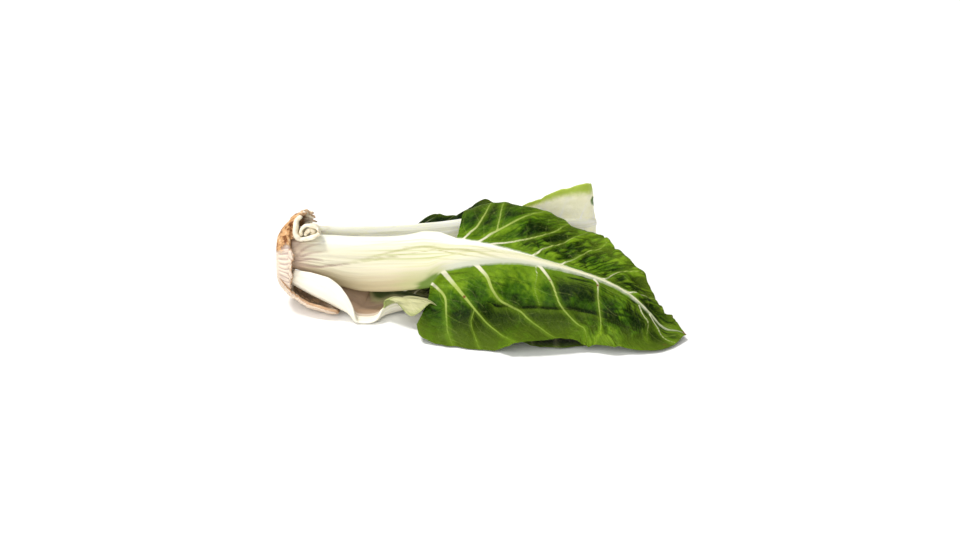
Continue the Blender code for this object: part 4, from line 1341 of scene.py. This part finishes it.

# %% The large leaf: marks
# Creases, folds and grooves are points and then depth or width and strength. Tones
# with painted light and shade, stains, flushes with painted shade, raised places and
# lumps are along, out, reach and strength. Lobes are side, place, width and height.
MAIN_LOOK = {
    "finish": green_finish, "seed": 3, "crumple": main_crumple, "stalk_columns": 46, "rim_width": 2.5,
    "creases": [
        ([(146, -40), (163, -40), (181, -38), (197, -34.5), (208, -31), (227, -27),
          (250, -25.5)], 3.8, 9.0)],
    "folds": [
        ([(176, 17), (190, 22), (194, 27), (199, 38)], 1.4, 0.9),
        ([(194, 31), (203, 33.4), (206, 44)], 1.1, 0.8),
        ([(200, 25), (212, 24.4), (221, 27.5), (226, 23.4)], 1.3, 0.9),
        ([(216, 9), (220, 20), (226, 19)], 1.0, 0.7),
        ([(228, 12), (237, 14), (246, 15), (256, 12.7)], 1.2, 0.9),
        ([(236, 6), (246, 8), (257, 7), (268, 4)], 1.1, 0.8),
        ([(212, -31), (230, -26.5), (248, -25.7), (264, -22)], 1.3, 0.9),
        ([(248, -29), (268, -23.4), (286, -17)], 1.1, 0.8),
        ([(236, -21), (249, -21.5), (267, -15), (280, -12)], 1.2, 0.9),
        ([(246, -19), (263, -11.5), (272, -9.4)], 1.0, 0.7),
        ([(226, 40), (236, 27), (246, 17)], 1.1, 0.7),
        ([(163, 35), (174, 42), (183, 36)], 1.2, 0.7),
        ([(168, 24), (180, 27), (189, 33)], 1.2, 0.8),
        ([(206, 8), (211, 16), (214, 21)], 0.9, 0.6),
        ([(150, -30), (166, -31), (180, -29)], 1.2, 0.5),
        ([(190, -20), (206, -18), (220, -16)], 1.2, 0.5),
        ([(222, -36), (238, -38), (252, -44)], 1.1, 0.6)],
    "lines": [
        ([(36, -4), (43, -3.2), (64, 2), (76, 5.5), (88, 8), (100, 8), (112, 5),
          (128, 1.8), (145, -3), (164, -6)], 1.1, 0.85),
        ([(47, -2.6), (51, -2), (72, 1), (88, 3.5), (104, 5), (120, 0), (130, -3),
          (146, -6)], 0.6, 0.9),
        ([(24, -6.8), (28, -6.2), (40, -4.2), (48, -3.2), (64, -1), (80, 0.5)], 0.7, 0.7),
        ([(30, 5), (50, 9.4), (79, 13.7), (93, 14.3), (116, 10.4)], 0.8, 0.3),
        ([(80, 9), (95, 11.5), (112, 8), (135, 4), (160, -2)], 0.6, 0.45),
        ([(96, 0), (112, -3), (130, -7), (150, -9), (175, -5)], 0.7, 0.4)],
    "foot_lines": [
        ([(3, -5), (6.5, -6), (19.5, -7.5), (28, -6.4), (44, -4)], 0.8, 1.0),
        ([(2, -4), (8, -3), (14, -2), (24, -3)], 0.8, 0.9),
        ([(2, -4), (7, -1), (14, 2), (24, 3)], 0.9, 0.8),
        ([(2, -4), (6, 2), (12, 7), (22, 10)], 0.9, 0.8),
        ([(2, -5), (8, -9), (18, -12), (30, -12)], 0.9, 0.5),
        ([(3, 6), (5, 9), (9, 13), (16, 16)], 0.9, 0.6)],
    # lighter and darker fields: painted light on the bulge below the midrib, painted shade low on the skirt
    # and beside the crease, and uneven tone elsewhere
    "tone_and_shade": [
        (117, -17, 9, 0.55), (125, -24, 9, 0.45), (154, -18, 16, 0.6), (178, -13, 14, 0.45),
        (282, -10, 18, -0.45), (142, 30, 22, 0.12), (199, 11, 9, 0.3), (209, 8, 9, 0.25),
        (166, 4, 10, 0.35), (266, 21, 9, 0.15), (252, 14, 8, 0.2), (276, 12, 13, -0.5),
        (262, 15, 9, -0.2), (296, 4, 9, -0.3), (281, -33, 8, 0.1), (218, -14, 18, -0.45),
        (244, -13, 16, -0.35), (191, -38, 9, -0.35), (173, -37, 7, -0.4), (192, 25, 9, -0.4),
        (232, 9, 9, -0.3), (215, -47, 18, -0.25), (252, -25, 14, -0.25), (265, 8, 7, -0.3),
        (161, -52, 18, -0.25), (211, 37, 9, -0.2), (131, -64, 24, -0.6), (150, -62, 14, -0.2),
        (200, -64, 18, -0.25), (158, -74, 18, -0.2), (112, -37, 8, 0.15), (105, -20, 9, 0.5)],
    "stain": [
        (125.5, -34.5, 1.5, 1.0), (193.5, -13, 0.9, 1.0), (228.5, -6.5, 1.2, 1.0), (303, 1, 3, 0.8),
        (292, -16, 2.5, 0.5), (284, 14, 1.6, 0.6)],
    # green where the blade starts, with a wider olive painted shade round it
    "flush": [(105, -22, 7, 1.0), (96, -25, 6, 0.5), (88, -23, 15, 0.42), (106, -14, 9, 0.3)],
    "lobes": [
        (1, 131.8, 0.45, -3.2), (1, 129.3, 1.0, 1.2), (1, 152, 2.5, -1.2), (1, 176, 3, 1.2),
        (1, 206, 4, -1.2), (1, 233, 5, 1.8), (1, 246, 4, -1.6), (1, 259, 3, 3.2), (1, 266, 2.5, -2.0),
        (1, 272, 2.5, 2.0)],
    "raise": [(292, 6, 9, 3.5), (299, -3, 6, 2.5)],
    "lumps": [(138, 46, 14, -2.6), (262, 14, 7, 1.6)],
}
build_leaf("main_leaf", MAIN_LEAF, MAIN_LOOK, 1.28)

# %% [markdown]
# The leaf in front of it is folded: its stalk is a channel whose pale margin turns
# over towards the viewer and hides under the large leaf. Only the slopes of its form
# make the fold, so the sheet stays as long across as it was when flat.

# %% The front leaf
FRONT_LEAF = {
    "step": 12.0, "outer": -1,
    "lie": [
        (10.9, -15.8, 23.5, (-50, -85, -100), (45, 15, -10, 0)),
        (30, -23, 16, (-30, -90, -105, -100), (20, -25, -45, -45, 0)),
        (43, -25, 9.5, (-15, -75, -85, -80), (-10, -40, -50, -50, 0)),
        (52, -26, 5, (-5, -55, -65, -50), (-10, -40, -55, -50, 0)),
        (60, -27, 0.5, (0, -5, -20, -50), (-5, -40, -50, -50, 0)),
        (68, -27, 0, (0, -10, -30), (0, -35, -45, -40, 0)),
        (76, -25, 0.5, (-10, -60, -20, 60, 70), (0, -30, -36, -24, 0)),
        (86, -23, 2.5, (-25, -88, -10, 70, 80), (0, -26, -28, -14, 0)),
        (97, -21, 3.5, (-25, -85, 0, 65, 72), (0, -22, -18, -5, 0)),
        (112, -19, 3.5, (-15, -60, 5, 45, 50), (0, -12, -8, 0)),
        (137, -18, 2, (0, -5, 5, 5, 0), (-5, -5, 0)),
        (170, -21, 2, (0, 0), (-5, -5, 0)),
        (205, -29, 2, (0, 0), (-5, -5, 0)),
        (235, -40, 1, (0, 0), (-5, -5, 0)),
        (258, -48, 1, (0, 0), (0, 0))],
    "stalk_near": [
        (0, 14), (12, 19), (24, 22.5), (39, 21), (49, 16), (57, 12.5), (65, 13.5), (73, 15), (82, 13),
        (96, 10), (116, 8), (146, 6), (186, 3.6), (244, 0.8), (260, 0.15)],
    "stalk_far": [
        (0, 10), (22, 18), (36, 23), (66, 24.5), (86, 22.5), (98, 18), (110, 11), (126, 8), (146, 6),
        (186, 3.6), (244, 0.8), (260, 0.15)],
    "thick": [
        (0, 4.5, 2.4, 0), (46, 4.5, 2.0, 0), (86, 4.5, 1.6, 0), (116, 4.0, 1.3, 0.4),
        (166, 3.0, 1.1, 0.6), (244, 1.2, 0.7, 0.2), (260, 0.6, 0.5, 0)],
    "near": [
        (83, 31, 75), (89, 38.5, 80), (95.5, 41, 86), (104, 38, 92), (117, 32, 104), (140, 31, 120),
        (169, 37, 146), (196, 50, 174), (218, 48, 198), (236, 36, 216), (249, 20, 234), (253, 13, 244),
        (255, 9, 246), (260, 0, 260)],
    "far": [
        (92, 19, 92), (102, 27, 96), (112, 36, 100), (132, 44, 107), (156, 46, 120), (184, 43, 144),
        (209, 35, 171), (230, 25, 201), (244, 16, 228), (250, 12, 244), (253, 9, 246), (260, 0, 260)],
    "vein_rows": {"near": [86, 104, 120, 146, 174, 198, 216, 234], "far": [99, 120, 144, 171, 201, 228]},
}
young_finish = leaf_finish(
    "young_leaf_skin", greens=((0.006, 0.018, 0.002), (0.24, 0.34, 0.05), (0.54, 0.53, 0.28)),
    vein=(0.64, 0.62, 0.38), ivory=(0.96, 0.92, 0.80), net=0.2, twigs=0.05, under=0.1,
    hollow=0.85, foot=0.05, flush=(0.025, 0.07, 0.006))
build_leaf("front_leaf", FRONT_LEAF, {
    "finish": young_finish, "seed": 5, "crumple": 0.35, "ruffle": 1.0, "ribs": 5, "foot": 0.12,
    "rim_width": 8,
    # painted shade where the blade lies under the large leaf, and a paler flap
    "tone_and_shade": [
        (190, 0, 55, -1.2), (200, -30, 40, -1.2), (135, 30, 35, -0.6), (92, -30, 16, 1.6),
        (108, -22, 14, 1.0), (84, -36, 5, -1.0)],
    "lobes": [(-1, 96, 8, -9.0)],
    # dark green with painted shade on the far wall under the large stalk
    "flush": [(76, 21, 8, 1.0), (92, 20, 9, 1.0), (106, 16, 8, 1.0)],
    "stain": [(45, -20, 1.4, 0.8)],
}, 1.2)

# %% [markdown]
# The tall leaf stands on its edge behind the others. Its pale inner side makes the
# sail at the top right of the photo, thin enough to let light through, so its finish
# has more light under the skin and a broad green band along the margin.

# %% The tall leaf
TALL_LEAF = {
    "step": 20.0, "outer": -1,
    "lie": [
        (14, 15, 42, (95, 80, 60), (-90, -110)),
        (50, 20, 39, (95, 85, 60), (-90, -100, -110)),
        (85, 25, 36, (95, 85, 60), (-90, -95, -110)),
        (120, 30, 37, (90, 85, 60), (-90, -90, -60)),
        (155, 35, 40, (90, 90, 70, 60), (-90, -85, -60, 40, 70)),
        (185, 37, 44, (90, 90, 80, 60), (-90, -85, -70, 60, 80)),
        (210, 38, 46, (90, 90, 80, 60), (-90, -88, -60, 60, 80)),
        (226, 42, 45, (90, 90, 80, 60), (-90, -85, -60, 60, 80)),
        (234, 53, 41, (85, 85, 80, 60), (-85, -70, -50, 60, 80)),
        (234, 66, 33, (80, 80, 80, 60), (-80, -60, -30, 30, 60)),
        (230, 79, 21, (70, 70, 70, 60), (-70, -50, -30, 20, 30)),
        (224, 88, 8, (60, 60), (-40, -30)),
        (218, 94, 2, (50, 50, 60), (-30, -30))],
    "stalk_near": [
        (0, 8), (36, 9), (70, 11), (105, 13), (138, 17), (150, 13), (165, 9), (190, 5.5), (225, 3),
        (268, 0.8), (290, 0.15)],
    "stalk_far": [
        (0, 14), (36, 15), (70, 16), (105, 15), (150, 15), (160, 12), (172, 8), (190, 5), (225, 3),
        (268, 0.8), (290, 0.15)],
    "thick": [
        (0, 6.0, 2.4, 0), (60, 5.5, 2.0, 0), (120, 5.0, 1.6, 0.2), (165, 4.0, 1.2, 0.8),
        (210, 2.8, 1.0, 0.6), (268, 1.2, 0.7, 0.2), (290, 0.6, 0.5, 0)],
    "near": [
        (138, 17.5, 138), (155, 25, 144), (172, 26.5, 153), (195, 27, 170), (216, 26, 192),
        (236, 23, 214), (250, 18, 236), (262, 12, 256), (270, 8, 268), (273, 6, 270), (290, 0, 290)],
    "far": [
        (150, 15.5, 150), (161, 16.5, 157), (173, 19, 167), (186, 24, 178), (199, 28.5, 190),
        (210, 30, 201), (221, 29.5, 211), (231, 29, 221), (242, 27, 231), (254, 21, 243),
        (264, 14, 257), (271, 9, 268), (274, 7, 270), (290, 0, 290)],
    "vein_rows": {"near": [153, 170, 192, 214, 240], "far": [167, 182, 196, 211, 226, 243]},
}
pale_finish = leaf_finish(
    "pale_leaf_skin", greens=((0.90, 0.86, 0.54), (0.97, 0.93, 0.64), (0.98, 0.95, 0.70)),
    vein=(0.96, 0.92, 0.66), ivory=(0.98, 0.96, 0.84), gloss=0.1, net=0.1, twigs=0.05, under=0.0,
    band=10.0, band_share=0.95, band_colour=(0.30, 0.42, 0.04), foot=0.0, through_light=0.5,
    stain=(0.05, 0.12, 0.01), stain_inside=True)
build_leaf("tall_leaf", TALL_LEAF, {
    "finish": pale_finish, "seed": 7, "crumple": 0.15, "ruffle": 0.5, "ribs": 6, "quilt": 0.2,
    "fluting": 0.3, "stain": [(221, 17, 3.5, 1.0), (226, 15, 3.5, 1.0)],
}, 1.0)

# %% [markdown]
# The back leaf is dark and strongly crinkled. Only its upper edge shows over the
# others, so its margin has deep lobes and the rest follows the common rules.

# %% The back leaf
BACK_LEAF = {
    "step": 20.0, "outer": 1,
    "lie": [
        (14, 19, 22, (-60, -85, -85, -75), (80, 60, 40)),
        (40, 28, 23, (-60, -85, -85, -75), (60, 60, 50, 40)),
        (70, 38, 26, (-50, -80, -80, -75), (40, 60, 60, 40, 30)),
        (100, 48, 30, (-50, -75), (30, 55, 60, 30, 20)),
        (130, 53, 33, (-60, -80, -75), (25, 55, 60, 30, 15)),
        (155, 56, 33, (-50, -70, -75), (25, 55, 50, 20, 10)),
        (180, 60, 26, (-20, -30, -40), (20, 40, 30, 10)),
        (198, 64, 14, (-10, -10), (10, 20, 10, 0)),
        (210, 68, 4, (0, 0), (0, 0)),
        (220, 72, 2, (0, 0), (0, 0))],
    "stalk_near": [
        (0, 9), (28, 12), (60, 14), (86, 14), (98, 11), (112, 8), (130, 6), (160, 4), (205, 0.8),
        (223, 0.15)],
    "stalk_far": [
        (0, 12), (28, 15), (60, 19), (80, 21), (92, 14), (104, 9), (130, 6), (160, 4), (205, 0.8),
        (223, 0.15)],
    "thick": [
        (0, 5.5, 2.4, 0), (50, 5.0, 2.0, 0), (90, 4.5, 1.5, 0.3), (130, 3.4, 1.1, 0.9),
        (205, 1.2, 0.7, 0.2), (223, 0.6, 0.5, 0)],
    "near": [
        (97, 20, 86), (104, 22, 91), (112, 23.5, 97), (124, 24, 104), (138, 27, 114), (150, 25, 127),
        (160, 20, 142), (176, 17, 158), (192, 13.5, 177), (204, 10, 194), (210, 7, 205), (212, 6, 207),
        (223, 0, 223)],
    "far": [
        (86, 49, 80), (93, 55, 83), (103, 58.5, 88), (116, 60, 94), (140, 58, 106), (160, 50, 124),
        (180, 38, 148), (198, 25, 175), (208, 15, 195), (212, 10, 205), (214, 8, 207), (223, 0, 223)],
    "vein_rows": {"near": [93, 105, 118, 134, 156, 180], "far": [84, 94, 106, 124, 148, 176, 196]},
}
dark_finish = leaf_finish(
    "dark_leaf_skin", greens=((0.003, 0.012, 0.003), (0.014, 0.040, 0.006), (0.05, 0.10, 0.02)),
    vein=(0.10, 0.15, 0.04), net=0.3, twigs=0.08, under=0.2)
build_leaf("back_leaf", BACK_LEAF, {
    "finish": dark_finish, "seed": 9, "crumple": 1.1, "ruffle": 2.5, "ribs": 6, "rim_width": 6,
    "lobes": [(-1, 91, 5, 3.0), (-1, 105, 6, -3.0), (-1, 117, 5, 5.5), (-1, 128, 6, 2.5)],
}, 1.1)

# %% [markdown]
# A small leaf sits in the heart between the stalks, almost hidden. It keeps the gap
# between them from looking empty, and shares the finish of the young front leaf.

# %% The heart leaf
HEART_LEAF = {
    "step": 20.0, "outer": 1,
    "lie": [
        (44, 4, 30, (30, 60), (-10, 40, 60)),
        (65, 5, 28, (30, 60), (-10, 40, 60)),
        (90, 6, 26, (30, 60), (-10, 40, 60)),
        (115, 6, 26, (30, 60), (-10, 30, 60)),
        (140, 5, 24, (20, 50, 60), (-10, 20, 60)),
        (165, 2, 20, (10, 20, 60), (-10, 20, 60))],
    "stalk_near": [(0, 4.5), (55, 6), (70, 4), (106, 0.8), (122, 0.15)],
    "stalk_far": [(0, 4.5), (55, 6), (70, 4), (106, 0.8), (122, 0.15)],
    "thick": [(0, 4.0, 2.0, 0), (55, 3.4, 1.4, 0.3), (106, 1.2, 0.7, 0.2), (122, 0.6, 0.5, 0)],
    "near": [
        (60, 7.5, 55), (68, 12, 60), (88, 14, 74), (104, 10, 92), (111, 6, 106), (113, 5, 108),
        (122, 0, 122)],
    "far": [
        (60, 7, 55), (68, 11, 60), (88, 12, 74), (104, 9, 92), (111, 6, 106), (113, 5, 108),
        (122, 0, 122)],
    "vein_rows": {"near": [60, 74, 88], "far": [60, 74, 88]},
}
build_leaf("heart_leaf", HEART_LEAF, {
    "finish": young_finish, "seed": 11, "crumple": 0.4, "ruffle": 0.8, "ribs": 4, "stalk_columns": 20,
}, 1.0)

# %% [markdown]
